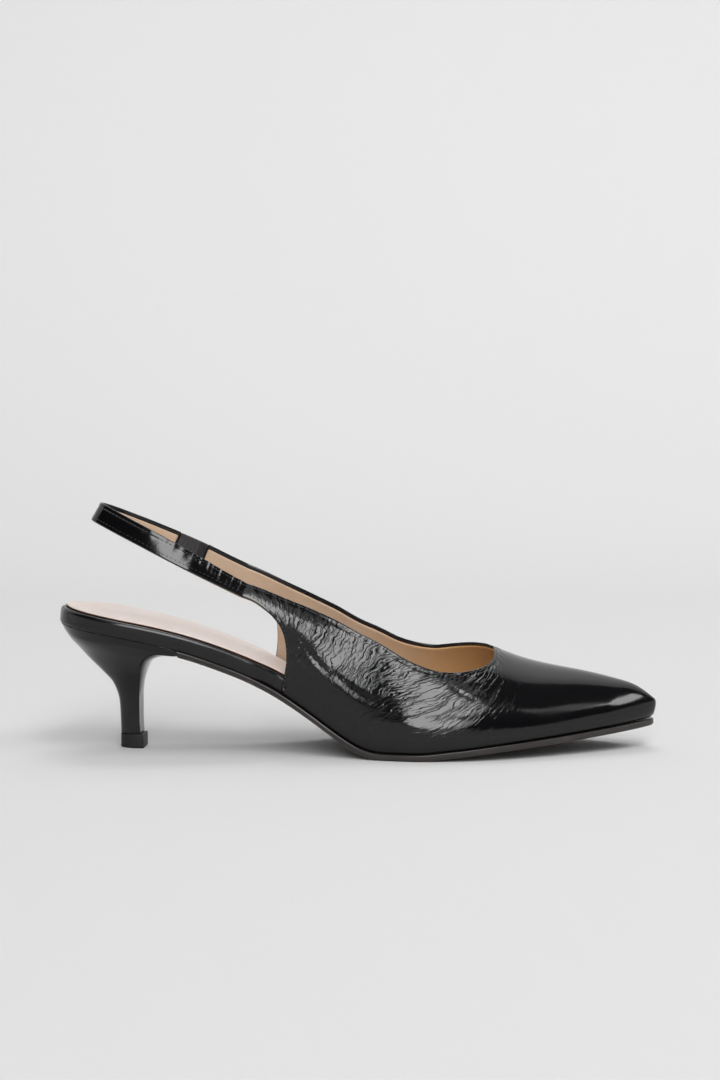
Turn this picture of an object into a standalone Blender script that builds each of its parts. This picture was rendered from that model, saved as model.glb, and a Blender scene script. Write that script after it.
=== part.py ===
"""A slingback court shoe with a pointed toe and a low curved heel, for the right foot.

Metres, +Z up, +X to the toe and +Y to the inner (big toe) side. The shoe stands on z = 0, and the
origin is the centre of the heel tip's foot. Every piece is one closed solid, at its real size.
"""

import math

import bmesh
import bpy
from mathutils import Vector

MM = 0.001
OUTER, INNER = -1, 1  # the two sides of the shoe, as signs of y

# Sizes of the last and of the sole
SHOE_LENGTH = 249.5 * MM  # back of the seat to the toe of the sole, along the floor
HEEL_SETBACK = 30.5 * MM  # back of the seat to the middle of the heel tip
SEAT_WIDTH = 51.0 * MM
WAIST_WIDTH = 44.5 * MM
BALL_WIDTH = 79.0 * MM
SEAT_ROUND = 27.0 * MM  # length over which the seat rounds off
TOE_ROUND = 20.0 * MM  # length over which the toe rounds off
HEEL_RISE = 50.9 * MM  # seat above the tread, at the back
TOE_SPRING = 9.6 * MM  # toe above the tread
SOLE_THICKNESS = 2.6 * MM
SOLE_REVEAL = 0.35 * MM  # how far the sole's edge stands out from the upper
WAIST_BEVEL = 2.2 * MM  # how far the sole's lower edge is cut back in the waist
EDGE_ROUND = 0.5 * MM  # the same at the forepart, and along the insole's lower edge
CLEARANCE = 0.3 * MM  # between pieces that are glued together

# Sizes of the upper and its sling
UPPER_WALL = 1.8 * MM
THROAT_HEIGHT = 35.7 * MM  # vamp above the sole, at the throat
NOSE_BULGE = 1.4 * MM  # how far the toe of the upper leans over the sole
NOSE_LENGTH = 16.0 * MM
STRAP_WIDTH = 8.6 * MM  # at the back
STRAP_NARROW = 7.0 * MM  # where it leaves the quarter on the outer side
INNER_NARROW = 8.4 * MM  # and on the inner side
OUTER_BOW = 1.0 * MM  # how far its lower edge bows up from a straight line, on each side
INNER_BOW = -0.5 * MM
BOW_PEAK = 3.08  # makes the largest value of the bow's curve 1
INNER_RAISE = 2.0 * MM  # how much higher the inner quarter reaches
STRAP_BACK = 42.6 * MM  # strap's lower edge above the seat, at the back
STRAP_SETBACK = 13.3 * MM  # back of the seat to the back of the strap's lower edge
STRAP_LOOP_WIDTH = 47.0 * MM
STRAP_LOOP_LENGTH = 42.0 * MM  # length over which the strap turns round the heel
STRAP_SLANT = 25.0  # degrees that the strap's width leans forward, square to its rise
STRAP_LEAN = 5.0  # degrees that the strap closes in towards its upper edge
TWIST_START = 0.55  # turn from which it takes on the quarter's slope, 0 at the back and 2 at the quarter
TWIST_END = 1.75
GORE_BACK = 16.0 * MM  # ends of the elastic, ahead of the heel tip's middle
GORE_FRONT = 28.0 * MM
GORE_THICKNESS = 1.5 * MM
GORE_GATHERS = 11
GATHER_DEPTH = 0.35 * MM

# Sizes of the insole and of its lining
BOARD_SEAT = 6.3 * MM  # padded insole at the seat, wrapped in the upper's leather
BOARD_FORE = 3.0 * MM
BOARD_ROUND = 1.6 * MM  # radius of its wrapped upper edge
LEAN_ROOM = 0.2 * MM  # more clearance from the upper, whose foot leans in
SOCK_THICKNESS = 0.7 * MM
SOCK_INSET = 2.0 * MM  # from the insole's edge

# Sizes of the heel
TIP_HEIGHT = 6.0 * MM
TIP_LENGTH = 10.4 * MM
TIP_WIDTH = 10.6 * MM
TIP_SQUARENESS = 0.85  # share of its length that its round back takes up
SEAT_MARGIN = 0.6 * MM  # how far the heel's top stays inside the sole's outline
TIP_OVERHANG = 0.4 * MM
HEEL_TURN = -6.0  # degrees that the heel points outwards
LIP_REACH = 20.5 * MM  # heel tip's middle to the front of the heel's lip

# How finely the curves are cut
RUNGS = 40  # stations along the sole, insole and sock
ROWS = 7  # rows from the feather edge to the topline
VAMP_LINES = 16  # cross lines from the toe to the throat
SIDE_LINES = 20  # from the throat to the quarter's rear edge
EDGE_LINES = 10  # that fan out to the rear edge
LOOP_LINES = 24  # across half of the strap

SEAT_BACK_X = -HEEL_SETBACK
TOE_X = SEAT_BACK_X + SHOE_LENGTH

# Outline of the last's bottom: share of the length, then half-widths on the outer and inner side.
PLAN = (
    (0.00, 0.490 * SEAT_WIDTH, 0.490 * SEAT_WIDTH),
    (0.14, 0.505 * SEAT_WIDTH, 0.500 * SEAT_WIDTH),
    (0.22, 0.505 * SEAT_WIDTH, 0.480 * SEAT_WIDTH),
    (0.31, 0.560 * WAIST_WIDTH, 0.475 * WAIST_WIDTH),
    (0.38, 0.580 * WAIST_WIDTH, 0.460 * WAIST_WIDTH),
    (0.45, 0.378 * BALL_WIDTH, 0.305 * BALL_WIDTH),
    (0.53, 0.462 * BALL_WIDTH, 0.398 * BALL_WIDTH),
    (0.61, 0.515 * BALL_WIDTH, 0.465 * BALL_WIDTH),
    (0.67, 0.512 * BALL_WIDTH, 0.482 * BALL_WIDTH),
    (0.75, 0.460 * BALL_WIDTH, 0.448 * BALL_WIDTH),
    (0.83, 0.358 * BALL_WIDTH, 0.357 * BALL_WIDTH),
    (0.91, 0.230 * BALL_WIDTH, 0.234 * BALL_WIDTH),
    (0.95, 0.165 * BALL_WIDTH, 0.168 * BALL_WIDTH),
    (1.00, 0.110 * BALL_WIDTH, 0.110 * BALL_WIDTH),
)

# Rise of the last's bottom above the tread: share of the length, then the rise.
PROFILE = (
    (0.00, 1.000 * HEEL_RISE),
    (0.10, 0.921 * HEEL_RISE),
    (0.20, 0.811 * HEEL_RISE),
    (0.30, 0.640 * HEEL_RISE),
    (0.36, 0.497 * HEEL_RISE),
    (0.42, 0.306 * HEEL_RISE),
    (0.47, 0.134 * HEEL_RISE),
    (0.51, 0.026 * HEEL_RISE),
    (0.535, 0.0),
    (0.60, 0.0),
    (0.65, 0.125 * TOE_SPRING),
    (0.75, 0.396 * TOE_SPRING),
    (0.85, 0.625 * TOE_SPRING),
    (0.95, 0.875 * TOE_SPRING),
    (1.00, 1.000 * TOE_SPRING),
)

# Sections of the upper: share of the length, height of the ridge over the sole, its offset to the
# inner side, outward lean at the sole in degrees, then how far the side and the top run straight,
# as shares of the height and of the half-width.
SECTIONS = (
    (0.24, 1.706 * THROAT_HEIGHT, 0.02 * BALL_WIDTH, 7.0, 0.36, 0.62),
    (0.36, 1.740 * THROAT_HEIGHT, 0.02 * BALL_WIDTH, 9.0, 0.35, 0.60),
    (0.44, 1.770 * THROAT_HEIGHT, 0.02 * BALL_WIDTH, 10.0, 0.34, 0.58),
    (0.52, 1.750 * THROAT_HEIGHT, 0.04 * BALL_WIDTH, 10.0, 0.35, 0.56),
    (0.60, 1.500 * THROAT_HEIGHT, 0.07 * BALL_WIDTH, 10.0, 0.39, 0.52),
    (0.66, 1.250 * THROAT_HEIGHT, 0.085 * BALL_WIDTH, 10.0, 0.43, 0.50),
    (0.73, 0.992 * THROAT_HEIGHT, 0.080 * BALL_WIDTH, 10.0, 0.46, 0.50),
    (0.79, 0.801 * THROAT_HEIGHT, 0.070 * BALL_WIDTH, 11.0, 0.47, 0.50),
    (0.84, 0.697 * THROAT_HEIGHT, 0.050 * BALL_WIDTH, 12.0, 0.48, 0.52),
    (0.89, 0.602 * THROAT_HEIGHT, 0.035 * BALL_WIDTH, 13.0, 0.50, 0.54),
    (0.94, 0.483 * THROAT_HEIGHT, 0.020 * BALL_WIDTH, 14.0, 0.52, 0.56),
    (0.975, 0.385 * THROAT_HEIGHT, 0.010 * BALL_WIDTH, 16.0, 0.54, 0.58),
    (1.00, 0.214 * THROAT_HEIGHT, 0.0, 18.0, 0.55, 0.60),
)

# Topline from the throat back to where the strap leaves the quarter: share of the length, then the
# place up the section on the outer and inner side, from 0 at the sole to 1 on the ridge.
THROAT = 0.7335
THROAT_FOOT = 0.885  # share of the length where the cross line from the throat reaches the sole
TOPLINE = (
    (0.7335, 1.000, 1.000),
    (0.7320, 0.803, 0.945),
    (0.7224, 0.694, 0.925),
    (0.7065, 0.615, 0.823),
    (0.6815, 0.551, 0.712),
    (0.6522, 0.514, 0.619),
    (0.6268, 0.505, 0.575),
    (0.5762, 0.529, 0.557),
    (0.5258, 0.578, 0.597),
    (0.4754, 0.588, 0.610),
    (0.4250, 0.556, 0.578),
    (0.3745, 0.516, 0.550),
)

# Rear edge of the quarter, from the sole up to the strap's lower edge: share of the length on the
# outer and inner side, then height over the sole as a share of the throat height.
QUARTER_EDGE = (
    (0.3743, 0.3560, 0.00),
    (0.3768, 0.3590, 0.10),
    (0.3812, 0.3630, 0.25),
    (0.3847, 0.3655, 0.43),
    (0.3840, 0.3650, 0.60),
    (0.3795, 0.3615, 0.72),
    (0.3705, 0.3545, 0.80),
    (0.3543, 0.3420, 0.86),
    (0.3330, 0.3270, 0.90),
)
JOIN = 0.3086  # share of the length where the strap's lower edge leaves the quarter
JOIN_HEIGHT = 0.891 * THROAT_HEIGHT  # of that point over the sole

# Sections of the heel: drop from the seat to the tip, how much it keeps the seat's tilt, then how
# far the width, back, corner and lip have come from the tip (0) to the seat (1).
HEEL = (
    (0.007, 1.00, 1.000, 1.000, 1.000, 1.000),
    (0.060, 1.00, 0.965, 0.955, 0.970, 0.990),
    (0.100, 1.00, 0.880, 0.905, 0.300, 0.820),
    (0.155, 1.00, 0.760, 0.835, 0.140, 0.480),
    (0.225, 0.95, 0.590, 0.700, 0.050, 0.250),
    (0.308, 0.80, 0.400, 0.545, -0.010, 0.125),
    (0.403, 0.50, 0.220, 0.330, -0.055, 0.040),
    (0.510, 0.20, 0.095, 0.140, -0.080, -0.025),
    (0.675, 0.00, 0.025, 0.040, -0.080, -0.080),
    (0.840, 0.00, 0.000, 0.022, -0.080, -0.085),
    (1.000, 0.00, 0.000, 0.014, -0.060, -0.060),
)


def smooth(rows, at, column):
    """Value of a table's column at a share, on a curve that never swings past its rows."""
    keys = [row[0] for row in rows]
    values = [row[column] for row in rows]
    at = min(max(at, keys[0]), keys[-1])
    i = max(k for k in range(len(keys) - 1) if keys[k] <= at)
    slopes = [(values[k + 1] - values[k]) / (keys[k + 1] - keys[k]) for k in range(len(keys) - 1)]

    def tangent(k):
        if k == 0 or k == len(keys) - 1:
            return slopes[min(k, len(slopes) - 1)]
        before, after = slopes[k - 1], slopes[k]
        return 2 * before * after / (before + after) if before * after > 0 else 0.0

    span = keys[i + 1] - keys[i]
    u = (at - keys[i]) / span
    return (
        (2 * u**3 - 3 * u**2 + 1) * values[i]
        + (u**3 - 2 * u**2 + u) * span * tangent(i)
        + (3 * u**2 - 2 * u**3) * values[i + 1]
        + (u**3 - u**2) * span * tangent(i + 1)
    )


def ease(u):
    """0 to 1 with flat ends."""
    u = min(max(u, 0.0), 1.0)
    return u * u * (3 - 2 * u)


def mix(a, b, u):
    return a + (b - a) * u


def round_end(distance, length):
    """Width share at a distance from the end of an outline that rounds off over a length."""
    if distance >= length:
        return 1.0
    return math.sqrt(max(0.0, 1 - (1 - distance / length) ** 2))


def share_of(x):
    return (x - SEAT_BACK_X) / SHOE_LENGTH


def x_of(share):
    return SEAT_BACK_X + share * SHOE_LENGTH


def half_width(side, x):
    """Half-width of the last's bottom on one side."""
    flat = smooth(PLAN, share_of(x), 1 if side == OUTER else 2)
    return flat * round_end(x - SEAT_BACK_X, SEAT_ROUND) * round_end(TOE_X - x, TOE_ROUND)


def bottom(x):
    """Height of the last's bottom, which is the top of the outsole."""
    return SOLE_THICKNESS + smooth(PROFILE, share_of(x), 1)


def bottom_normal(x):
    """Direction square to the last's bottom, upwards, in the plane of the side view."""
    step = 0.5 * MM
    rise = bottom(x + step) - bottom(x - step)
    return Vector((-rise, 0.0, 2 * step)).normalized()


def stations(start, end, count, both_round):
    """Places between two ends, closer together at the start, and at the end too if it is round."""
    places = []
    for k in range(count + 1):
        u = k / count
        if both_round:
            u = mix(u, (1 - math.cos(math.pi * u)) / 2, 0.75)
        else:
            u = mix(u, 1 - math.cos(math.pi / 2 * u), 0.6)
        places.append(mix(start, end, u))
    return places


def rim(places, inset, lift):
    """Closed line round the last's bottom: outer side from the toe back, then inner side forwards.

    inset and lift are functions of x: how far the line is inside the outline, and above the bottom.
    """
    line = []
    step = 0.4 * MM
    for side in (OUTER, INNER):
        for x in places if side == OUTER else reversed(places):
            here = Vector((x, side * half_width(side, x), 0))
            low, high = max(x - step, SEAT_BACK_X), min(x + step, TOE_X)
            along = Vector((high - low, side * (half_width(side, high) - half_width(side, low)), 0))
            inwards = Vector((along.y, -along.x, 0)).normalized() * side
            if min(x - SEAT_BACK_X, TOE_X - x) < 0.01 * MM:
                inwards = Vector((1 if x - SEAT_BACK_X < TOE_X - x else -1, 0, 0))
            point = here + inwards * inset(x)
            point.z = bottom(x)
            line.append(point + bottom_normal(x) * lift(x))
    return line


def material(name, colour, roughness, metallic=0.0):
    made = bpy.data.materials.new(name)
    made.use_nodes = True
    shader = made.node_tree.nodes["Principled BSDF"]
    shader.inputs["Base Color"].default_value = (*colour, 1.0)
    shader.inputs["Roughness"].default_value = roughness
    shader.inputs["Metallic"].default_value = metallic
    return made


def finish_mesh(name, points, faces, finish, smooth_angle=40.0):
    """Object from points and faces, with doubles merged and faces turned outwards."""
    mesh = bpy.data.meshes.new(name)
    mesh.from_pydata([tuple(p) for p in points], [], faces)
    build = bmesh.new()
    build.from_mesh(mesh)
    bmesh.ops.remove_doubles(build, verts=build.verts, dist=0.01 * MM)
    bmesh.ops.dissolve_degenerate(build, edges=build.edges, dist=0.01 * MM)
    bmesh.ops.recalc_face_normals(build, faces=build.faces)
    build.to_mesh(mesh)
    build.free()
    mesh.materials.append(finish)
    mesh.shade_smooth()
    mesh.set_sharp_from_angle(angle=math.radians(smooth_angle))
    made = bpy.data.objects.new(name, mesh)
    shoe.objects.link(made)
    return made


def slab(name, lines, columns, finish):
    """Solid lofted through closed lines of equal count, capped by rungs from side to side."""
    points, faces = [], []
    count = len(lines[0])
    half = count // 2
    for line in lines:
        points += line
    for k in range(len(lines) - 1):
        for j in range(count):
            a, b = k * count + j, k * count + (j + 1) % count
            faces.append((a, b, b + count, a + count))
    for cap, line in ((0, lines[0]), (1, lines[-1])):
        grid = []
        for j in range(half):
            row = []
            for c in range(columns + 1):
                row.append(len(points))
                points.append(mix(line[j], line[count - 1 - j], c / columns))
            grid.append(row)
        for j in range(half - 1):
            for c in range(columns):
                quad = (grid[j][c], grid[j][c + 1], grid[j + 1][c + 1], grid[j + 1][c])
                faces.append(quad if cap else quad[::-1])
    return finish_mesh(name, points, faces, finish)


def waist(x):
    """1 in the waist of the shoe, 0 at the seat and the ball."""
    share = share_of(x)
    return ease((share - 0.16) / 0.08) * (1 - ease((share - 0.44) / 0.10))


def make_outsole(finish):
    """Thin sole with a bevelled waist, from the toe to a square end against the heel's lip."""
    places = stations(TOE_X, LIP_REACH + CLEARANCE, RUNGS, False)
    layers = (
        (lambda x: mix(EDGE_ROUND, WAIST_BEVEL, waist(x)), lambda x: -SOLE_THICKNESS),
        (lambda x: 0.16 * WAIST_BEVEL * waist(x), lambda x: -SOLE_THICKNESS * mix(0.72, 0.45, waist(x))),
        (lambda x: 0.0, lambda x: -0.1 * SOLE_THICKNESS),
        (lambda x: 0.4 * EDGE_ROUND, lambda x: 0.0),
    )
    lines = []
    for inset, lift in layers:
        line = rim(places, lambda x, i=inset: i(x) - SOLE_REVEAL, lift)
        for point in line:
            point.x = max(point.x, places[-1])
            point.z = max(point.z, 0.0)
        lines.append(line)
    return slab("outsole", lines, 1, finish)


def board_inset(x):
    """Inset of the insole: flush at the open seat, inside the upper's wall further forward."""
    inside = UPPER_WALL + CLEARANCE + LEAN_ROOM
    return mix(0.0, inside, ease((share_of(x) - 0.318) / 0.038))


def board_thickness(x):
    return mix(BOARD_SEAT, BOARD_FORE, ease((share_of(x) - 0.40) / 0.12))


def make_insole(finish):
    """Padded insole whose wrapped edge shows as a band behind the quarters."""
    places = stations(TOE_X, SEAT_BACK_X, RUNGS, True)
    lines = [
        rim(places, lambda x: board_inset(x) + EDGE_ROUND, lambda x: CLEARANCE),
        rim(places, board_inset, lambda x: CLEARANCE + EDGE_ROUND),
    ]
    for turn in (0, 30, 60, 90):
        cut = BOARD_ROUND * (1 - math.cos(math.radians(turn)))
        drop = BOARD_ROUND * (1 - math.sin(math.radians(turn)))
        lines.append(
            rim(
                places,
                lambda x, c=cut: board_inset(x) + c,
                lambda x, d=drop: CLEARANCE + board_thickness(x) - d,
            )
        )
    return slab("insole", lines, 6, finish)


def make_sock(finish):
    """Thin lining glued on the insole."""
    places = stations(TOE_X, SEAT_BACK_X, RUNGS, True)
    edge = 0.36 * SOCK_THICKNESS
    lines = [
        rim(
            places,
            lambda x, c=cut: board_inset(x) + SOCK_INSET + c,
            lambda x, h=lift: 2 * CLEARANCE + board_thickness(x) + h,
        )
        for cut, lift in ((0.0, 0.0), (0.0, SOCK_THICKNESS - edge), (edge, SOCK_THICKNESS))
    ]
    return slab("sock", lines, 6, finish)


def section(side, x, t):
    """Point of the upper's outer face at station x, t from 0 at the sole to 1 on the ridge."""
    share = share_of(x)
    height = smooth(SECTIONS, share, 1)
    offset = smooth(SECTIONS, share, 2) * round_end(TOE_X - x, TOE_ROUND)
    lean = math.radians(smooth(SECTIONS, share, 3))
    side_run = smooth(SECTIONS, share, 4) * height
    foot = half_width(side, x)
    top_run = smooth(SECTIONS, share, 5) * (foot + offset * -side)
    nose = max(0.0, 1 - (TOE_X - x) / NOSE_LENGTH) ** 2
    narrow = round_end(TOE_X - x, TOE_ROUND)
    ys = (foot, foot + side_run * math.sin(lean) * narrow, top_run + offset * side, offset * side)
    zs = (0.0, side_run * math.cos(lean), height, height)
    weights = ((1 - t) ** 3, 3 * t * (1 - t) ** 2, 3 * t * t * (1 - t), t**3)
    y = sum(w * v for w, v in zip(weights, ys))
    z = sum(w * v for w, v in zip(weights, zs))
    lift = CLEARANCE + UPPER_WALL * math.sin(lean)
    bulge = NOSE_BULGE * nose * math.sin(math.pi * (0.9 * t + 0.05))
    return Vector((x + bulge, side * y, bottom(x) + lift + z))


def place_up(side, x, height):
    """How far up the section at x a height over the sole lies."""
    low, high = 0.0, 1.0
    for _ in range(30):
        middle = (low + high) / 2
        if section(side, x, middle).z - bottom(x) < height:
            low = middle
        else:
            high = middle
    return (low + high) / 2


def spline(rows, u):
    """Point on a curve through rows of numbers, u from 0 at the first to 1 at the last."""
    at = u * (len(rows) - 1)
    i = min(int(at), len(rows) - 2)
    f = at - i
    picked = [rows[min(max(i + k, 0), len(rows) - 1)] for k in (-1, 0, 1, 2)]
    return [
        0.5 * (2 * b + (c - a) * f + (2 * a - 5 * b + 4 * c - d) * f**2 + (3 * b - a - 3 * c + d) * f**3)
        for a, b, c, d in zip(*picked)
    ]


def join_height(side):
    """Height over the sole at which the strap's lower edge leaves the quarter."""
    return JOIN_HEIGHT + (INNER_RAISE if side == INNER else 0.0)


def join_width(side):
    """Width of the strap where it leaves the quarter."""
    return STRAP_NARROW if side == OUTER else INNER_NARROW


def strap_up():
    """Direction across the strap in the side view."""
    slant = math.radians(STRAP_SLANT)
    return Vector((math.sin(slant), 0.0, math.cos(slant)))


def strap_edge(side, turn):
    """Lower edge of the strap: turn 0 at the back, 1 where the loop runs straight, 2 at the quarter.

    Returns the point and the outward direction in plan.
    """
    back = SEAT_BACK_X + STRAP_SETBACK
    straight = back + STRAP_LOOP_LENGTH
    join_x = x_of(JOIN)
    join_z = bottom(join_x) + join_height(side)
    bow = OUTER_BOW if side == OUTER else INNER_BOW
    half = STRAP_LOOP_WIDTH / 2

    def at(step):
        if step <= 1:
            angle = math.radians(90) * step
            x = straight - STRAP_LOOP_LENGTH * math.cos(angle)
            y = half * math.sin(angle)
        else:
            x = mix(straight, join_x, step - 1)
            wide = abs(section(side, join_x, place_up(side, join_x, join_height(side))).y)
            y = mix(half, wide, (step - 1) ** 1.3)
        return Vector((x, side * y, 0))

    point = at(turn)
    if turn == 0:
        outwards = Vector((-1, 0, 0))
    else:
        along = at(min(turn + 0.02, 2)) - at(turn - 0.02)
        outwards = Vector((-along.y, along.x, 0)).normalized()
        if outwards.y * side < 0:
            outwards = -outwards
    rise = bottom(SEAT_BACK_X) + STRAP_BACK - join_z
    run = min(max((join_x - point.x) / (join_x - back), 0.0), 1.0)
    point.z = join_z + rise * run + bow * BOW_PEAK * math.sqrt(1 - run) * run**1.5
    return point, outwards


def quarter_lean(side):
    """Sine of the angle at which the quarter closes in where the strap leaves it."""
    x = x_of(JOIN)
    width = join_width(side)
    top = Vector((x, 0, bottom(x) + join_height(side))) + strap_up() * width
    low = section(side, x, place_up(side, x, join_height(side)))
    high = section(side, top.x, place_up(side, top.x, top.z - bottom(top.x)))
    return (abs(low.y) - abs(high.y)) / width


def strap_column(side, turn, rows):
    """Line across the strap, from its lower to its upper edge."""
    point, outwards = strap_edge(side, turn)
    twist = ease((turn - TWIST_START) / (TWIST_END - TWIST_START))
    lean = mix(math.sin(math.radians(STRAP_LEAN)), quarter_lean(side), twist)
    width = mix(STRAP_WIDTH, join_width(side), (turn / 2) ** 2)
    across = (strap_up() - outwards * lean).normalized() * width
    return [point + across * (k / rows) for k in range(rows + 1)]


def quarter_columns(side, rows):
    """Cross lines of the upper from the toe to where the strap begins, sole edge first in each."""
    pick = 1 if side == OUTER else 2
    columns = []
    fold = x_of(THROAT_FOOT)
    for x in stations(TOE_X, x_of(THROAT), VAMP_LINES, False):
        foot = TOE_X + (x - TOE_X) * (TOE_X - fold) / (TOE_X - x_of(THROAT))
        columns.append([(mix(foot, x, r / rows), r / rows) for r in range(rows + 1)])
    corner = x_of(QUARTER_EDGE[0][pick - 1])
    top = strap_column(side, 2, 1)[1]
    cut = [(row[0], row[pick]) for row in TOPLINE]
    cut.append((share_of(top.x), place_up(side, top.x, top.z - bottom(top.x))))
    split = 0.80
    for k in range(1, SIDE_LINES + 1):
        u = k / SIDE_LINES
        share, top = spline(cut, split * u)
        foot = mix(fold, corner, u**0.9)
        columns.append([(mix(foot, x_of(share), r / rows), top * r / rows) for r in range(rows + 1)])
    edge = [(row[pick - 1], row[2] * THROAT_HEIGHT) for row in QUARTER_EDGE] + [(JOIN, join_height(side))]
    for k in range(1, EDGE_LINES + 1):
        u = k / (EDGE_LINES + 1)
        share, top = spline(cut, mix(split, 1.0, u))
        edge_share, height = spline(edge, u)
        foot_x = x_of(edge_share)
        foot = place_up(side, foot_x, height) if height > 0 else 0.0
        columns.append(
            [(mix(foot_x, x_of(share), r / rows), mix(foot, top, r / rows)) for r in range(rows + 1)]
        )
    return [[section(side, x, t) for x, t in column] for column in columns]


def skin(columns):
    """Points and faces of a sheet through cross lines."""
    points, faces = [], []
    count = len(columns[0])
    for column in columns:
        points += column
    for i in range(len(columns) - 1):
        for r in range(count - 1):
            a = i * count + r
            faces.append((a, a + 1, a + 1 + count, a + count))
    return points, faces


def gore_turn(x):
    """Turn of the strap's lower edge at a place along the shoe."""
    low, high = 0.0, 2.0
    for _ in range(30):
        middle = (low + high) / 2
        if strap_edge(INNER, middle)[0].x < x:
            low = middle
        else:
            high = middle
    return (low + high) / 2


def make_upper(finish):
    """One hollow leather piece: vamp, quarters and strap, open where the elastic sits."""
    back = gore_turn(GORE_BACK - CLEARANCE)
    front = gore_turn(GORE_FRONT + CLEARANCE)
    half = LOOP_LINES // 2
    outer = quarter_columns(OUTER, ROWS)
    outer += [strap_column(OUTER, 2 - 2 * k / LOOP_LINES, ROWS) for k in range(LOOP_LINES)]
    outer += [strap_column(INNER, back * k / half, ROWS) for k in range(half + 1)]
    inner = quarter_columns(INNER, ROWS)
    inner += [strap_column(INNER, mix(2.0, front, k / 5), ROWS) for k in range(6)]
    points, faces = skin(outer)
    more, more_faces = skin(inner)
    faces += [tuple(v + len(points) for v in face)[::-1] for face in more_faces]
    points += more
    made = finish_mesh("upper", points, faces, finish)
    wall = made.modifiers.new("wall", "SOLIDIFY")
    wall.thickness = UPPER_WALL
    wall.offset = -1.0
    wall.use_even_offset = True
    return made


def make_gore(finish):
    """Gathered elastic that joins the two ends of the strap on the inner side."""
    start, end = gore_turn(GORE_BACK), gore_turn(GORE_FRONT)
    steps = GORE_GATHERS * 4
    rows = 3
    outside, inside = [], []
    for k in range(steps + 1):
        turn = mix(start, end, k / steps)
        outwards = strap_edge(INNER, turn)[1]
        wave = GATHER_DEPTH * (1 - math.cos(2 * math.pi * GORE_GATHERS * k / steps)) / 2
        column = strap_column(INNER, turn, rows)
        across = (column[-1] - column[0]) * 0.03
        column[0] = column[0] + across
        column[-1] = column[-1] - across
        depth = (UPPER_WALL - GORE_THICKNESS) / 2
        outside.append([p - outwards * (depth + wave) for p in column])
        inside.append([p - outwards * (depth + GORE_THICKNESS - wave) for p in column])
    points, faces = [], []
    loop = [o + i[::-1] for o, i in zip(outside, inside)]
    count = len(loop[0])
    for line in loop:
        points += line
    for k in range(steps):
        for j in range(count):
            a, b = k * count + j, k * count + (j + 1) % count
            faces.append((a, b, b + count, a + count))
    for k in (0, steps):
        for r in range(rows):
            a, b = k * count + r, k * count + count - 1 - r
            faces.append((a, a + 1, b - 1, b))
    return finish_mesh("elastic_gore", points, faces, finish)


def heel_outline(back, corner, front, half, roundness, count=28):
    """Closed D-shaped line in plan, from the outer corner round the back, then across the breast."""
    line = []
    for k in range(count + 1):
        angle = math.pi * k / count
        side = OUTER if k * 2 < count else INNER
        x = mix(corner, back, math.sin(angle))
        y = half * round_end(x - back, roundness * (corner - back)) if corner > back else 0.0
        line.append(Vector((x, side * y, 0)))
    breast = 8
    for k in range(1, breast):
        u = k / breast
        x = corner + (front - corner) * math.sin(math.pi * u)
        line.append(Vector((x, half * math.cos(math.pi * u), 0)))
    return line


def heel_lines():
    """Closed lines of the heel from the seat down to the tip."""
    middle = bottom(0.0)
    column = middle - TIP_HEIGHT - CLEARANCE
    tip_back = -TIP_LENGTH / 2 + TIP_OVERHANG
    tip_front = TIP_LENGTH / 2 - TIP_OVERHANG
    seat_back = SEAT_BACK_X + SEAT_MARGIN
    lines = []
    for drop, tilt, flare, back, corner, lip in HEEL:
        half = mix(TIP_WIDTH / 2 - TIP_OVERHANG, 0.485 * SEAT_WIDTH, flare)
        outline = heel_outline(
            mix(tip_back, seat_back, back),
            mix(tip_front, LIP_REACH, corner),
            mix(tip_front, LIP_REACH, lip),
            half,
            mix(TIP_SQUARENESS, 0.52, flare),
        )
        turn = math.radians(HEEL_TURN) * (1 - flare)
        line = []
        for p in outline:
            x = p.x * math.cos(turn) - p.y * math.sin(turn)
            y = p.x * math.sin(turn) + p.y * math.cos(turn)
            z = middle - drop * column + tilt * (bottom(x) - middle)
            line.append(Vector((x, y, z)))
        lines.append(line)
    return lines


def loft(name, lines, finish):
    """Closed solid through closed lines, with a fan of faces on each end."""
    points, faces = [], []
    count = len(lines[0])
    for line in lines:
        points += line
    for k in range(len(lines) - 1):
        for j in range(count):
            a, b = k * count + j, k * count + (j + 1) % count
            faces.append((a, b, b + count, a + count))
    for base in (0, (len(lines) - 1) * count):
        hub = len(points)
        ring = points[base : base + count]
        points.append(sum(ring, Vector()) / count)
        for j in range(count):
            faces.append((hub, base + j, base + (j + 1) % count))
    return finish_mesh(name, points, faces, finish)


def make_heel(finish):
    return loft("heel", heel_lines(), finish)


def make_tip(finish):
    outline = heel_outline(
        -TIP_LENGTH / 2,
        TIP_LENGTH / 2,
        TIP_LENGTH / 2,
        TIP_WIDTH / 2,
        TIP_SQUARENESS,
        20,
    )
    turn = math.radians(HEEL_TURN)
    lines = []
    for z in (TIP_HEIGHT, 0.0):
        lines.append(
            [
                Vector(
                    (
                        p.x * math.cos(turn) - p.y * math.sin(turn),
                        p.x * math.sin(turn) + p.y * math.cos(turn),
                        z,
                    )
                )
                for p in outline
            ]
        )
    return loft("heel_tip", lines, finish)


for old in list(bpy.data.objects):
    bpy.data.objects.remove(old)

shoe = bpy.data.collections.new("slingback_shoe")
bpy.context.scene.collection.children.link(shoe)

patent = material("black patent leather", (0.012, 0.012, 0.013), 0.12)
sole_leather = material("dark sole leather", (0.045, 0.035, 0.03), 0.45)
lining = material("beige kid lining", (0.72, 0.55, 0.44), 0.5)
rubber = material("black heel tip rubber", (0.02, 0.02, 0.02), 0.5)
elastic = material("black gathered elastic", (0.015, 0.015, 0.016), 0.45)

make_outsole(sole_leather)
make_heel(patent)
make_tip(rubber)
make_insole(patent)
make_sock(lining)
make_upper(patent)
make_gore(elastic)
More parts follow.
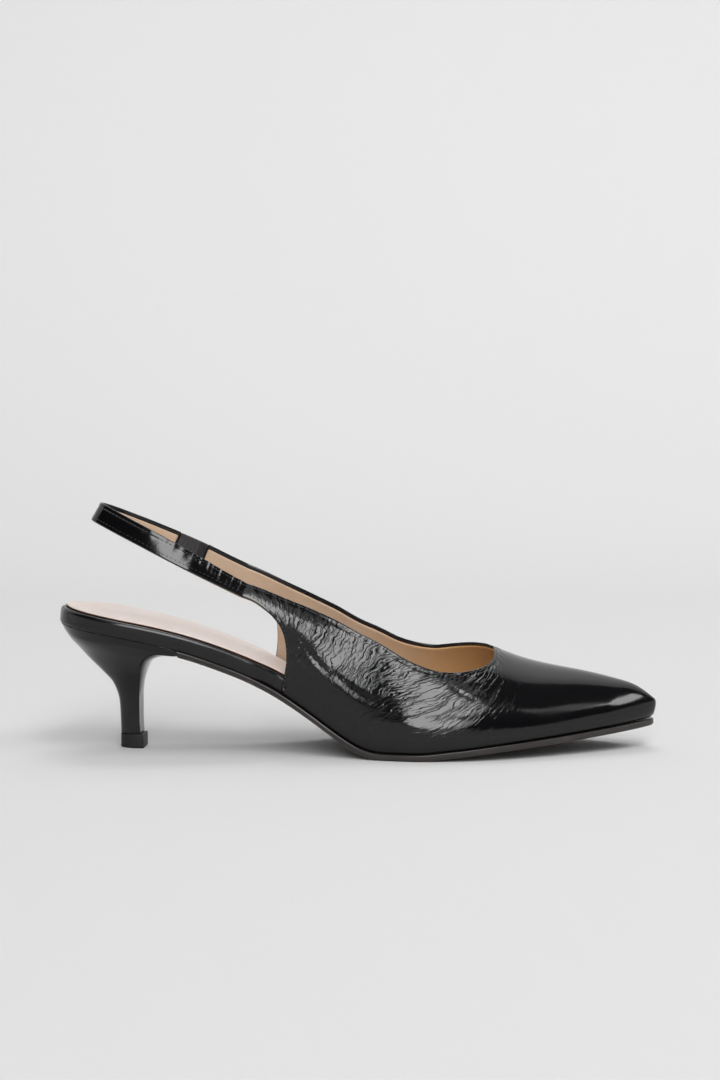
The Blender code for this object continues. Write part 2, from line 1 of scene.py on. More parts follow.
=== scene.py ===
"""Looks of a black patent slingback court shoe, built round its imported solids.

Metres, +Z up, +X to the toe and +Y to the inner side. The camera stands on the outer side, as in
the photograph. The last, the sizes and the tables are those of the part's own source.
"""

import logging
import math
from dataclasses import dataclass, field
from enum import Enum

import bmesh
import bpy
import numpy as np
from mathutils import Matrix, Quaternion, Vector


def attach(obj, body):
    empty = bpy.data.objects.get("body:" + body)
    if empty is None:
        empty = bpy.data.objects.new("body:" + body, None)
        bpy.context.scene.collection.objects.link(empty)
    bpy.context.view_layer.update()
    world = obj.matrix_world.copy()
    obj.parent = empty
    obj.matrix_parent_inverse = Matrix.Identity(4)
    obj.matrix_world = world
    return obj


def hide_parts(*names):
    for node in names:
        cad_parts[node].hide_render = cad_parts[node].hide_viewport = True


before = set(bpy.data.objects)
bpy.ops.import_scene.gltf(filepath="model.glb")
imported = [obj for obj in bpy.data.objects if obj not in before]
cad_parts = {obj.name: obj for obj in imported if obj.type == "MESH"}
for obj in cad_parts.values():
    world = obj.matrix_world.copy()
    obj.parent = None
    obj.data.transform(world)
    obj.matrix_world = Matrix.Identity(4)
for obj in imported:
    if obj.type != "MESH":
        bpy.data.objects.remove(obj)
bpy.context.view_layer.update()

logging.basicConfig(level=logging.INFO, format="%(message)s")
log = logging.getLogger("court shoe")

MM = 0.001
Table = tuple[tuple[float, ...], ...]
Corner = tuple[float, float, float]
Colour = tuple[float, float, float, float]


class Side(Enum):
    """The two sides of the shoe, as signs of y."""

    OUTER = -1
    INNER = 1

    @property
    def index(self) -> int:
        """Return 0 for the outer side and 1 for the inner, as in the tables."""
        return (self.value + 1) // 2


# ---- small mathematics


def ease(u: np.ndarray) -> np.ndarray:
    """Return 0 to 1 with flat ends."""
    u = np.clip(u, 0.0, 1.0)
    return u * u * (3 - 2 * u)


def ramp(value: np.ndarray, start: float, run: float) -> np.ndarray:
    """Return 0 up to a start and 1 from a run past it, eased between."""
    return ease((value - start) / run)


def mix(a: np.ndarray, b: np.ndarray, u: np.ndarray) -> np.ndarray:
    """Return the value a share u of the way from a to b."""
    return a + (b - a) * u


def round_end(distance: np.ndarray, length: float) -> np.ndarray:
    """Return the width share at a distance from an end that rounds off over a length."""
    inside = np.clip(1 - np.asarray(distance) / length, 0.0, 1.0)
    return np.sqrt(1 - inside**2)


def unit(vectors: np.ndarray) -> np.ndarray:
    """Return the vectors at length 1."""
    return vectors / np.maximum(np.linalg.norm(vectors, axis=-1, keepdims=True), 1e-12)


class Profile:
    """A table's column as a smooth curve over the share of the shoe's length."""

    def __init__(self, rows: Table, column: int, soften: float = 0.0) -> None:
        """Sample the column finely once.

        Args:
            rows: rows of the table, each with the share first.
            column: which number of a row is the value.
            soften: half-width, in shares, of the running mean that rounds off its bends.
        """
        keys = np.array([row[0] for row in rows])
        values = np.array([row[column] for row in rows])
        slopes = np.diff(values) / np.diff(keys)
        tangents = np.empty(len(keys))
        tangents[0], tangents[-1] = slopes[0], slopes[-1]
        for k in range(1, len(keys) - 1):
            before, after = slopes[k - 1], slopes[k]
            tangents[k] = 2 * before * after / (before + after) if before * after > 0 else 0.0
        self.at = np.linspace(keys[0], keys[-1], 3001)
        i = np.clip(np.searchsorted(keys, self.at, side="right") - 1, 0, len(keys) - 2)
        span = keys[i + 1] - keys[i]
        u = (self.at - keys[i]) / span
        curve = (
            (2 * u**3 - 3 * u**2 + 1) * values[i]
            + (u**3 - 2 * u**2 + u) * span * tangents[i]
            + (3 * u**2 - 2 * u**3) * values[i + 1]
            + (u**3 - u**2) * span * tangents[i + 1]
        )
        if soften > 0:
            reach = int(soften / (self.at[1] - self.at[0]))
            for _ in range(2):
                ahead = 2 * curve[0] - curve[reach:0:-1]
                behind = 2 * curve[-1] - curve[-2 : -reach - 2 : -1]
                padded = np.concatenate((ahead, curve, behind))
                total = np.cumsum(np.concatenate(((0.0,), padded)))
                width = 2 * reach + 1
                curve = (total[width:] - total[:-width]) / width
        self.values = curve

    def __call__(self, share: np.ndarray) -> np.ndarray:
        """Return the value at each share."""
        return np.interp(share, self.at, self.values)


# ---- the last


@dataclass
class Last:
    """Form of the foot that the shoe is built on, with the sizes that its pieces share."""

    length: float = 249.5 * MM
    heel_setback: float = 30.5 * MM
    seat_width: float = 51.0 * MM
    ball_width: float = 79.0 * MM
    seat_round: float = 27.0 * MM
    toe_round: float = 20.0 * MM
    heel_rise: float = 50.9 * MM
    sole_thickness: float = 2.6 * MM
    throat_height: float = 35.7 * MM
    wall: float = 1.8 * MM
    clearance: float = 0.3 * MM
    nose_bulge: float = 1.4 * MM
    nose_length: float = 16.0 * MM
    # share of the length, then the outer and inner half-widths as shares of the seat's width
    plan: Table = (
        (0.00, 0.490, 0.490),
        (0.14, 0.505, 0.500),
        (0.22, 0.505, 0.480),
        (0.31, 0.4886, 0.4145),
        (0.38, 0.5061, 0.4014),
        (0.45, 0.5855, 0.4725),
        (0.53, 0.7156, 0.6165),
        (0.61, 0.7977, 0.7203),
        (0.67, 0.7931, 0.7466),
        (0.75, 0.7125, 0.6940),
        (0.83, 0.5546, 0.5530),
        (0.91, 0.3563, 0.3625),
        (0.95, 0.2556, 0.2602),
        (1.00, 0.1704, 0.1704),
    )
    # share of the length, and the bottom's height as a share of the heel's rise
    rise: Table = (
        (0.00, 1.000),
        (0.10, 0.921),
        (0.20, 0.811),
        (0.30, 0.640),
        (0.36, 0.497),
        (0.42, 0.306),
        (0.47, 0.134),
        (0.51, 0.026),
        (0.535, 0.0),
        (0.60, 0.0),
        (0.65, 0.0236),
        (0.75, 0.0747),
        (0.85, 0.1179),
        (0.95, 0.1650),
        (1.00, 0.1886),
    )
    # share of the length, height in throat heights, offset of the ridge in ball widths, lean of the
    # wall in degrees, and how far the wall and the top run before they bend
    sections: Table = (
        (0.24, 1.706, 0.020, 7.0, 0.36, 0.62),
        (0.36, 1.740, 0.020, 9.0, 0.35, 0.60),
        (0.44, 1.770, 0.020, 10.0, 0.34, 0.58),
        (0.52, 1.750, 0.040, 10.0, 0.35, 0.56),
        (0.60, 1.500, 0.070, 10.0, 0.39, 0.52),
        (0.66, 1.250, 0.085, 10.0, 0.43, 0.50),
        (0.73, 0.992, 0.080, 10.0, 0.46, 0.50),
        (0.79, 0.801, 0.070, 11.0, 0.47, 0.50),
        (0.84, 0.697, 0.050, 12.0, 0.48, 0.52),
        (0.89, 0.602, 0.035, 13.0, 0.50, 0.54),
        (0.94, 0.483, 0.020, 14.0, 0.52, 0.56),
        (0.975, 0.385, 0.010, 16.0, 0.54, 0.58),
        (1.00, 0.214, 0.0, 18.0, 0.55, 0.60),
    )
    curves: dict[str, Profile] = field(default_factory=dict)

    def __post_init__(self) -> None:
        """Turn the tables into curves."""
        self.curves = {
            "OUTER": Profile(self.plan, 1, 0.02),
            "INNER": Profile(self.plan, 2, 0.02),
            "rise": Profile(self.rise, 1, 0.012),
        }
        for k, name in enumerate(("height", "offset", "lean", "side_run", "top_run"), 1):
            self.curves[name] = Profile(self.sections, k, 0.016)

    @property
    def back(self) -> float:
        """x of the back of the seat."""
        return -self.heel_setback

    @property
    def toe(self) -> float:
        """x of the toe of the sole."""
        return self.length - self.heel_setback

    def share(self, x: np.ndarray) -> np.ndarray:
        """Return x as a share of the length."""
        return (np.asarray(x) - self.back) / self.length

    def x(self, share: np.ndarray) -> np.ndarray:
        """Return the x of a share of the length."""
        return self.back + np.asarray(share) * self.length

    def half_width(self, side: Side, x: np.ndarray) -> np.ndarray:
        """Return the half-width of the last's bottom on one side."""
        curve = self.curves[side.name]
        ends = round_end(np.asarray(x) - self.back, self.seat_round) * round_end(self.toe - x, self.toe_round)
        return curve(self.share(x)) * self.seat_width * ends

    def bottom(self, x: np.ndarray) -> np.ndarray:
        """Return the height of the last's bottom, which is the top of the outsole."""
        return self.sole_thickness + self.curves["rise"](self.share(x)) * self.heel_rise

    def section(self, side: Side, x: np.ndarray, t: np.ndarray) -> np.ndarray:
        """Points of the upper's outer face.

        Args:
            side: outer or inner side of the shoe.
            x: stations along the shoe.
            t: places up the section, 0 at the sole and 1 on the ridge.

        Returns:
            An array of points, with the shape of x and one more axis.
        """
        share = self.share(x)
        sign = side.value
        narrow = round_end(self.toe - x, self.toe_round)
        height = self.curves["height"](share) * self.throat_height
        offset = self.curves["offset"](share) * self.ball_width * narrow
        lean = np.radians(self.curves["lean"](share))
        side_run = self.curves["side_run"](share) * height
        foot = self.half_width(side, x)
        top_run = self.curves["top_run"](share) * (foot - offset * sign)
        nose = np.clip(1 - (self.toe - x) / self.nose_length, 0.0, None) ** 2
        ys = (foot, foot + side_run * np.sin(lean) * narrow, top_run + offset * sign, offset * sign)
        zs = (0.0 * height, side_run * np.cos(lean), height, height)
        weights = ((1 - t) ** 3, 3 * t * (1 - t) ** 2, 3 * t * t * (1 - t), t**3)
        y = sum(w * v for w, v in zip(weights, ys))
        z = sum(w * v for w, v in zip(weights, zs))
        lift = self.clearance + self.wall * np.sin(lean)
        bulge = self.nose_bulge * nose * np.sin(np.pi * (0.9 * t + 0.05))
        return np.stack((x + bulge, sign * y, self.bottom(x) + lift + z), axis=-1)

    def place_up(self, side: Side, x: np.ndarray, height: np.ndarray) -> np.ndarray:
        """Return how far up the section at x a height over the sole lies."""
        x = np.asarray(x, float)
        low, high = np.zeros_like(x), np.ones_like(x)
        for _ in range(30):
            middle = (low + high) / 2
            under = self.section(side, x, middle)[..., 2] - self.bottom(x) < height
            low, high = np.where(under, middle, low), np.where(under, high, middle)
        return (low + high) / 2

    def rim(self, places: np.ndarray, inset: np.ndarray, lift: np.ndarray) -> np.ndarray:
        """Closed line round the last's bottom, from the toe back and then forwards.

        Args:
            places: stations from the toe to the back.
            inset: how far the line lies inside the outline, at each station.
            lift: how far it lies above the bottom, at each station.

        Returns:
            Points of the outer side from the toe back, then of the inner side from the back on.
        """
        step = 0.4 * MM
        low, high = np.maximum(places - step, self.back), np.minimum(places + step, self.toe)
        slope = (self.bottom(places + step) - self.bottom(places - step)) / (2 * step)
        upwards = unit(np.stack((-slope, 0 * slope, 1 + 0 * slope), axis=-1))
        halves = []
        for side in Side:
            sign = side.value
            spread = self.half_width(side, high) - self.half_width(side, low)
            inwards = unit(np.stack((sign * spread, low - high, 0 * low), axis=-1)) * sign
            inwards[places <= self.back] = (1, 0, 0)
            inwards[places >= self.toe] = (-1, 0, 0)
            here = np.stack((places, sign * self.half_width(side, places), self.bottom(places)), axis=-1)
            halves.append(here + inwards * inset[:, None] + upwards * lift[:, None])
        return np.concatenate((halves[0], halves[1][::-1]))


@dataclass
class Sling:
    """Course of the topline, the quarters' rear edges and the strap round the heel."""

    last: Last
    strap_width: float = 8.6 * MM
    joins: tuple[float, float] = (7.0 * MM, 8.4 * MM)
    twist: tuple[float, float] = (0.55, 1.75)  # turns between which the strap leans in like the quarter
    bows: tuple[float, float] = (1.0 * MM, -0.5 * MM)
    bow_peak: float = 3.08
    inner_raise: float = 2.0 * MM
    strap_back: float = 42.6 * MM
    setback: float = 13.3 * MM
    loop_width: float = 47.0 * MM
    loop_length: float = 42.0 * MM
    slant: float = 25.0
    lean: float = 5.0
    gore: tuple[float, float] = (16.0 * MM, 28.0 * MM)  # x of the ends of the opening for the elastic
    throat: float = 0.7335
    throat_foot: float = 0.885
    join: float = 0.3086
    join_share: float = 0.891
    edge_start: float = 0.80  # share of the topline over which the lines stand on the sole
    # share of the length, then how far up the section the outer and the inner edge lie
    topline: Table = (
        (0.7335, 1.000, 1.000),
        (0.7320, 0.803, 0.945),
        (0.7224, 0.694, 0.925),
        (0.7065, 0.615, 0.823),
        (0.6815, 0.551, 0.712),
        (0.6522, 0.514, 0.619),
        (0.6268, 0.505, 0.575),
        (0.5762, 0.529, 0.557),
        (0.5258, 0.578, 0.597),
        (0.4754, 0.588, 0.610),
        (0.4250, 0.556, 0.578),
        (0.3745, 0.516, 0.550),
    )
    # shares of the length of the outer and the inner edge, and the height in throat heights
    quarter_edge: Table = (
        (0.3743, 0.3560, 0.00),
        (0.3768, 0.3590, 0.10),
        (0.3812, 0.3630, 0.25),
        (0.3847, 0.3655, 0.43),
        (0.3840, 0.3650, 0.60),
        (0.3795, 0.3615, 0.72),
        (0.3705, 0.3545, 0.80),
        (0.3543, 0.3420, 0.86),
        (0.3330, 0.3270, 0.90),
    )

    def join_height(self, side: Side) -> float:
        """Return the height over the sole at which the strap's lower edge leaves the quarter."""
        return self.join_share * self.last.throat_height + self.inner_raise * side.index

    def join_width(self, side: Side) -> float:
        """Return the strap's width where it leaves the quarter."""
        return self.joins[side.index]

    def across(self) -> np.ndarray:
        """Return the direction across the strap in the side view."""
        return np.array((math.sin(math.radians(self.slant)), 0.0, math.cos(math.radians(self.slant))))

    def lower_edge(self, side: Side, turn: np.ndarray) -> tuple[np.ndarray, np.ndarray]:
        """Lower edge of the strap.

        Args:
            side: side of the shoe.
            turn: 0 at the back, 1 where the loop runs straight and 2 at the quarter.

        Returns:
            The points, and the outward direction in plan at each.
        """
        last = self.last
        back = last.back + self.setback
        straight = back + self.loop_length
        join_x = float(last.x(self.join))
        join_z = float(last.bottom(join_x)) + self.join_height(side)
        wide = abs(float(last.section(side, join_x, last.place_up(side, join_x, self.join_height(side)))[1]))
        half = self.loop_width / 2
        sign = side.value

        def plan(at: np.ndarray) -> np.ndarray:
            angle = np.radians(90) * np.minimum(at, 1)
            on = np.clip(at - 1, 0, None)
            x = np.where(at <= 1, straight - self.loop_length * np.cos(angle), mix(straight, join_x, on))
            y = np.where(at <= 1, half * np.sin(angle), mix(half, wide, on**1.3))
            return np.stack((x, sign * y, 0 * x), axis=-1)

        point = plan(turn)
        along = plan(np.minimum(turn + 0.02, 2)) - plan(np.maximum(turn - 0.02, 0))
        outwards = unit(np.stack((-along[..., 1], along[..., 0], 0 * along[..., 0]), axis=-1))
        outwards = np.where(outwards[..., 1:2] * sign < 0, -outwards, outwards)
        outwards[turn < 1e-6] = (-1, 0, 0)
        climb = float(last.bottom(last.back)) + self.strap_back - join_z
        run = np.clip((join_x - point[..., 0]) / (join_x - back), 0.0, 1.0)
        bow = self.bows[side.index]
        point[..., 2] = join_z + climb * run + bow * self.bow_peak * np.sqrt(1 - run) * run**1.5
        return point, outwards

    def closing(self, side: Side) -> float:
        """Return the sine of the angle at which the quarter closes in where the strap leaves it."""
        last = self.last
        x = float(last.x(self.join))
        tall = self.join_height(side)
        width = self.join_width(side)
        top = np.array((x, 0, float(last.bottom(x)) + tall)) + self.across() * width
        low = last.section(side, x, last.place_up(side, x, tall))
        up = last.place_up(side, top[0], top[2] - last.bottom(top[0]))
        high = last.section(side, top[0], up)
        return float((abs(low[1]) - abs(high[1])) / width)

    def strap(self, side: Side, turn: np.ndarray, rows: np.ndarray) -> np.ndarray:
        """Points of the strap's outer face, a line across it for each turn.

        Args:
            side: side of the shoe.
            turn: where the lines lie, as in lower_edge.
            rows: places across the strap, 0 at its lower and 1 at its upper edge.

        Returns:
            An array of lines of points.
        """
        turn = np.asarray(turn, float)
        point, outwards = self.lower_edge(side, turn)
        twist = ease((turn - self.twist[0]) / (self.twist[1] - self.twist[0]))
        lean = mix(math.sin(math.radians(self.lean)), self.closing(side), twist)
        width = mix(self.strap_width, self.join_width(side), (turn / 2) ** 2)
        across = unit(self.across() - outwards * lean[:, None]) * width[:, None]
        return point[:, None, :] + across[:, None, :] * rows[None, :, None]

    def turn_at(self, x: float) -> float:
        """Return the turn of the inner strap's lower edge at an x."""
        turns = np.linspace(0, 2, 4001)
        points, _ = self.lower_edge(Side.INNER, turns)
        return float(np.interp(x, points[:, 0], turns))

    def quarter(self, side: Side, rows: np.ndarray, counts: tuple[int, int, int]) -> np.ndarray:
        """Cross lines of the upper from the toe to where the strap begins.

        Args:
            side: side of the shoe.
            rows: places up the lines, 0 at the foot and 1 at the top, in one row or one for each line.
            counts: lines to the throat, on to the rear edge, and along the rear edge.

        Returns:
            An array of lines of points.
        """
        last = self.last
        pick = 1 + side.index
        fold = float(last.x(self.throat_foot))
        throat = float(last.x(self.throat))
        feet, tops = [], []
        for k in range(counts[0] + 1):
            u = k / counts[0]
            x = mix(last.toe, throat, mix(u, 1 - math.cos(math.pi / 2 * u), 0.6))
            feet.append((last.toe + (x - last.toe) * (last.toe - fold) / (last.toe - throat), 0.0))
            tops.append((x, 1.0))
        corner = float(last.x(self.quarter_edge[0][pick - 1]))
        top = self.strap(side, np.array([2.0]), np.array([1.0]))[0, 0]
        joined = (float(last.share(top[0])), float(last.place_up(side, top[0], top[2] - last.bottom(top[0]))))
        cut = Path([(row[0], row[pick]) for row in self.topline] + [joined])
        edge = Path(
            [(row[pick - 1], row[2] * last.throat_height) for row in self.quarter_edge]
            + [(self.join, self.join_height(side))]
        )
        for k in range(1, counts[1] + 1):
            u = k / counts[1]
            share, up = cut.at(self.edge_start * u)
            feet.append((mix(fold, corner, u**0.9), 0.0))
            tops.append((float(last.x(share)), up))
        for k in range(1, counts[2] + 1):
            u = k / (counts[2] + 1)
            share, up = cut.at(mix(self.edge_start, 1.0, u))
            edge_share, tall = edge.at(u)
            foot = float(last.x(edge_share))
            feet.append((foot, float(last.place_up(side, foot, tall)) if tall > 0 else 0.0))
            tops.append((float(last.x(share)), up))
        net = mix(np.array(feet)[:, None], np.array(tops)[:, None], rows[..., None])
        return last.section(side, net[..., 0], net[..., 1])


class Path:
    """Curve through rows of numbers."""

    def __init__(self, rows: list[tuple[float, ...]]) -> None:
        """Keep the rows as an array."""
        self.rows = np.array(rows)

    def at(self, u: float) -> np.ndarray:
        """Return the point at u, from 0 at the first row to 1 at the last."""
        place = u * (len(self.rows) - 1)
        i = min(int(place), len(self.rows) - 2)
        f = place - i
        a, b, c, d = (self.rows[min(max(i + k, 0), len(self.rows) - 1)] for k in (-1, 0, 1, 2))
        return 0.5 * (2 * b + (c - a) * f + (2 * a - 5 * b + 4 * c - d) * f**2 + (3 * b - a - 3 * c + d) * f**3)


# ---- meshes


def new_object(name: str, points: np.ndarray, faces: list[tuple[int, ...]]) -> bpy.types.Object:
    """Object at the origin whose place is in its mesh.

    Args:
        name: name of the piece.
        points: its vertices.
        faces: vertex numbers of each face.

    Returns:
        The new object, smooth shaded.
    """
    mesh = bpy.data.meshes.new(name)
    mesh.from_pydata(np.asarray(points, float).tolist(), [], faces)
    mesh.shade_smooth()
    made = bpy.data.objects.new(name, mesh)
    bpy.context.scene.collection.objects.link(made)
    return made


def grid_faces(ids: np.ndarray) -> np.ndarray:
    """Return the faces of a grid of point numbers."""
    return np.stack([q.ravel() for q in (ids[:-1, :-1], ids[:-1, 1:], ids[1:, 1:], ids[1:, :-1])], axis=1)


def wall_faces(layers: int, around: int) -> list[tuple[int, int, int, int]]:
    """Return the faces between closed lines of points that are numbered one after the other."""
    spots = [(k * around, j, (j + 1) % around) for k in range(layers - 1) for j in range(around)]
    return [(base + a, base + b, base + b + around, base + a + around) for base, a, b in spots]


def point_faces_out(thing: bpy.types.Object) -> None:
    """Turn the faces of a closed mesh outwards, with its doubles merged first."""
    build = bmesh.new()
    build.from_mesh(thing.data)
    bmesh.ops.remove_doubles(build, verts=build.verts, dist=0.002 * MM)
    bmesh.ops.recalc_face_normals(build, faces=build.faces)
    build.to_mesh(thing.data)
    build.free()


def paint(thing: bpy.types.Object, slot: str, *finishes: bpy.types.Material) -> None:
    """Give a piece its materials."""
    for finish in finishes:
        thing.data.materials.append(finish)


def flow_map(thing: bpy.types.Object, along: np.ndarray, across: np.ndarray, face_sets: np.ndarray) -> None:
    """UV map whose u and v are metres along and across the leather.

    Args:
        thing: the piece.
        along: metres along it, for each part of the sheet and vertex.
        across: metres across it, in the same order.
        face_sets: part of the sheet that each face belongs to.
    """
    mesh = thing.data
    layer = mesh.uv_layers.new(name="flow")
    loops = np.empty(len(mesh.loops), np.int32)
    mesh.loops.foreach_get("vertex_index", loops)
    starts = np.empty(len(mesh.polygons), np.int32)
    totals = np.empty(len(mesh.polygons), np.int32)
    mesh.polygons.foreach_get("loop_start", starts)
    mesh.polygons.foreach_get("loop_total", totals)
    owner = np.repeat(face_sets, totals)
    uv = np.stack((along[owner, loops], across[owner, loops]), axis=-1)
    layer.data.foreach_set("uv", uv.astype(np.float32).ravel())


def spread(length: np.ndarray, count: int, low: float, high: float, fine: float) -> np.ndarray:
    """Arc lengths of rows up lines of given lengths, closer together towards both ends.

    Args:
        length: length of each line.
        count: number of rows.
        low: how far the first row stays from the line's foot, for each line.
        high: how far the last row stays from its top, for each line.
        fine: spacing of the rows at the ends as a share of that in the middle.

    Returns:
        An array with a row of arc lengths for each line.
    """
    u = np.linspace(0, 1, count)
    pace = fine + (1 - fine) * np.sin(np.pi * np.clip((u[:-1] + u[1:]) / 2, 0, 1)) ** 1.2
    place = np.concatenate(((0.0,), np.cumsum(pace)))
    place /= place[-1]
    return low[:, None] + (length - low - high)[:, None] * place[None, :]


@dataclass
class Sheet:
    """Face of the leather as a net of points with its measures."""

    points: np.ndarray
    faces: np.ndarray
    part: np.ndarray
    along: np.ndarray
    across: np.ndarray
    boundary: np.ndarray
    topline: np.ndarray
    feather: np.ndarray

    def normals(self) -> np.ndarray:
        """Return the direction square to the face at each point."""
        p = self.points
        a, b, c, d = (p[self.faces[:, k]] for k in range(4))
        square = np.cross(c - a, d - b)
        total = np.zeros_like(p)
        for k in range(4):
            np.add.at(total, self.faces[:, k], square)
        return unit(total)

    def within(self, depth: float, share: float, start: float, run: float = 8 * MM) -> np.ndarray:
        """Return a depth under the face, less inside the toe, where the two sides would meet.

        Args:
            depth: the depth elsewhere.
            share: how much of the room to the shoe's middle it may take up in the toe.
            start: x from which it is limited.
            run: length over which the limit comes in.

        Returns:
            The depth at each point.
        """
        room = np.abs(self.points[:, 1]) / np.maximum(np.abs(self.normals()[:, 1]), 0.05)
        return np.minimum(depth, mix(depth, share * room, ramp(self.points[:, 0], start, run)))

    def near(self, line: np.ndarray) -> np.ndarray:
        """Return each point's distance from a line of points."""
        return distance_to(self.points, line)[0]


def distance_to(points: np.ndarray, line: np.ndarray) -> tuple[np.ndarray, np.ndarray]:
    """Distance from points to an open line.

    Args:
        points: the points.
        line: corners of the line.

    Returns:
        The distances, and how far along the line the nearest place is, 0 to 1.
    """
    starts, ways = line[:-1], np.diff(line, axis=0)
    squares = np.maximum((ways**2).sum(1), 1e-18)
    lengths = np.concatenate(((0.0,), np.cumsum(np.sqrt(squares))))
    best = np.full(len(points), np.inf)
    place = np.zeros(len(points))
    for k, (start, step) in enumerate(zip(starts, ways)):
        u = np.clip((points - start) @ step / squares[k], 0, 1)
        gap = points - start - u[:, None] * step
        far = (gap**2).sum(1)
        closer = far < best
        best[closer] = far[closer]
        place[closer] = (lengths[k] + u[closer] * math.sqrt(squares[k])) / lengths[-1]
    return np.sqrt(best), place


@dataclass(frozen=True)
class Trim:
    """How far a sheet of leather stops short of the upper's edges."""

    top: float
    foot: float
    rear: float
    ends: float


@dataclass(frozen=True)
class Net:
    """How finely a sheet is cut: lines along it and rows across."""

    vamp: int
    side: int
    edge: int
    loop: int
    rows: int


def leather_sheet(sling: Sling, net: Net, trim: Trim) -> Sheet:
    """Outer face of vamp, quarters and strap as one sheet.

    Args:
        sling: course of the edges.
        net: how finely it is cut.
        trim: how far it stops short of the edges.

    Returns:
        The sheet, with its boundary as one closed line.
    """
    raw = np.linspace(0, 1, 41)
    counts = (net.vamp, net.side, net.edge)
    quarters, straps = {}, {}
    back, front = sling.turn_at(sling.gore[0] - trim.ends), sling.turn_at(sling.gore[1] + trim.ends)
    turns = {
        "outer": np.linspace(2, 0, net.loop + 1)[:-1],
        "inner_back": np.linspace(0, back, net.loop // 2),
        "inner": np.linspace(2, front, 9),
    }
    for side in Side:
        lines = sling.quarter(side, raw[None, :], counts)
        gaps = np.linalg.norm(np.diff(lines, axis=1), axis=2)
        arcs = np.concatenate((np.zeros((len(lines), 1)), np.cumsum(gaps, axis=1)), axis=1)
        on_ridge = np.arange(len(lines)) <= net.vamp
        on_edge = np.arange(len(lines)) > net.vamp + net.side
        high = np.where(on_ridge, 0.0, trim.top * ease((np.arange(len(lines)) - net.vamp) / 4))
        low = np.where(on_edge, trim.rear, trim.foot)
        wanted = spread(arcs[:, -1], net.rows, low, high, 0.3)
        rows = np.stack([np.interp(w, a, raw) for w, a in zip(wanted, arcs)])
        quarters[side] = sling.quarter(side, rows, counts)
    for name, turn in turns.items():
        side = Side.OUTER if name == "outer" else Side.INNER
        width = mix(sling.strap_width, sling.join_width(side), (turn / 2) ** 2)
        low, high = np.full(len(turn), trim.rear), np.full(len(turn), trim.top)
        rows = spread(width, net.rows, low, high, 0.3) / width[:, None]
        point = sling.strap(side, turn, np.array([0.0, 1.0]))
        straps[name] = point[:, :1] + (point[:, 1:] - point[:, :1]) * rows[..., None]
    first = np.concatenate((quarters[Side.OUTER], straps["outer"], straps["inner_back"]))
    second = np.concatenate((quarters[Side.INNER], straps["inner"]))
    rows = net.rows
    ids = [np.arange(first.shape[0] * rows).reshape(-1, rows)]
    ids.append(ids[0].size + np.arange(second.shape[0] * rows).reshape(-1, rows))
    ids[1][0] = ids[0][0]
    ids[1][: net.vamp + 1, -1] = ids[0][: net.vamp + 1, -1]
    points = np.concatenate((first.reshape(-1, 3), second.reshape(-1, 3)))
    halves = [grid_faces(ids[0]), grid_faces(ids[1])[:, ::-1]]
    faces, part = np.concatenate(halves), np.repeat((0, 1), [len(half) for half in halves])
    along = np.zeros((2, len(points)))
    across = np.zeros((2, len(points)))
    for k, grid in enumerate((first, second)):
        top = grid[:, -1]
        run = np.concatenate(((0.0,), np.cumsum(np.linalg.norm(np.diff(top, axis=0), axis=1))))
        run -= run[net.vamp]
        gaps = np.linalg.norm(np.diff(grid, axis=1), axis=2)
        down = np.cumsum(gaps[:, ::-1], axis=1)[:, ::-1]
        down = np.concatenate((down, np.zeros((len(grid), 1))), axis=1)
        along[k, ids[k].ravel()] = np.repeat(run, rows)
        across[k, ids[k].ravel()] = (down * (-1, 1)[k]).ravel()
    loop = [ids[0][::-1, 0], ids[1][1:, 0], ids[1][-1, 1:], ids[1][-2 : net.vamp - 1 : -1, -1]]
    loop += [ids[0][net.vamp + 1 :, -1], ids[0][-1, -2:0:-1]]
    used, renumber = np.unique(faces, return_inverse=True)
    back_to = np.full(len(points), -1)
    back_to[used] = np.arange(len(used))
    topline = np.concatenate((second[: net.vamp - 1 : -1, -1], first[net.vamp + 1 :, -1]))
    foot_lines = net.vamp + net.side + 1
    feather = np.concatenate((first[:foot_lines, 0][::-1], second[1:foot_lines, 0]))
    return Sheet(
        points=points[used],
        faces=renumber.reshape(faces.shape),
        part=part,
        along=along[:, used],
        across=across[:, used],
        boundary=back_to[np.concatenate(loop)],
        topline=topline,
        feather=feather,
    )


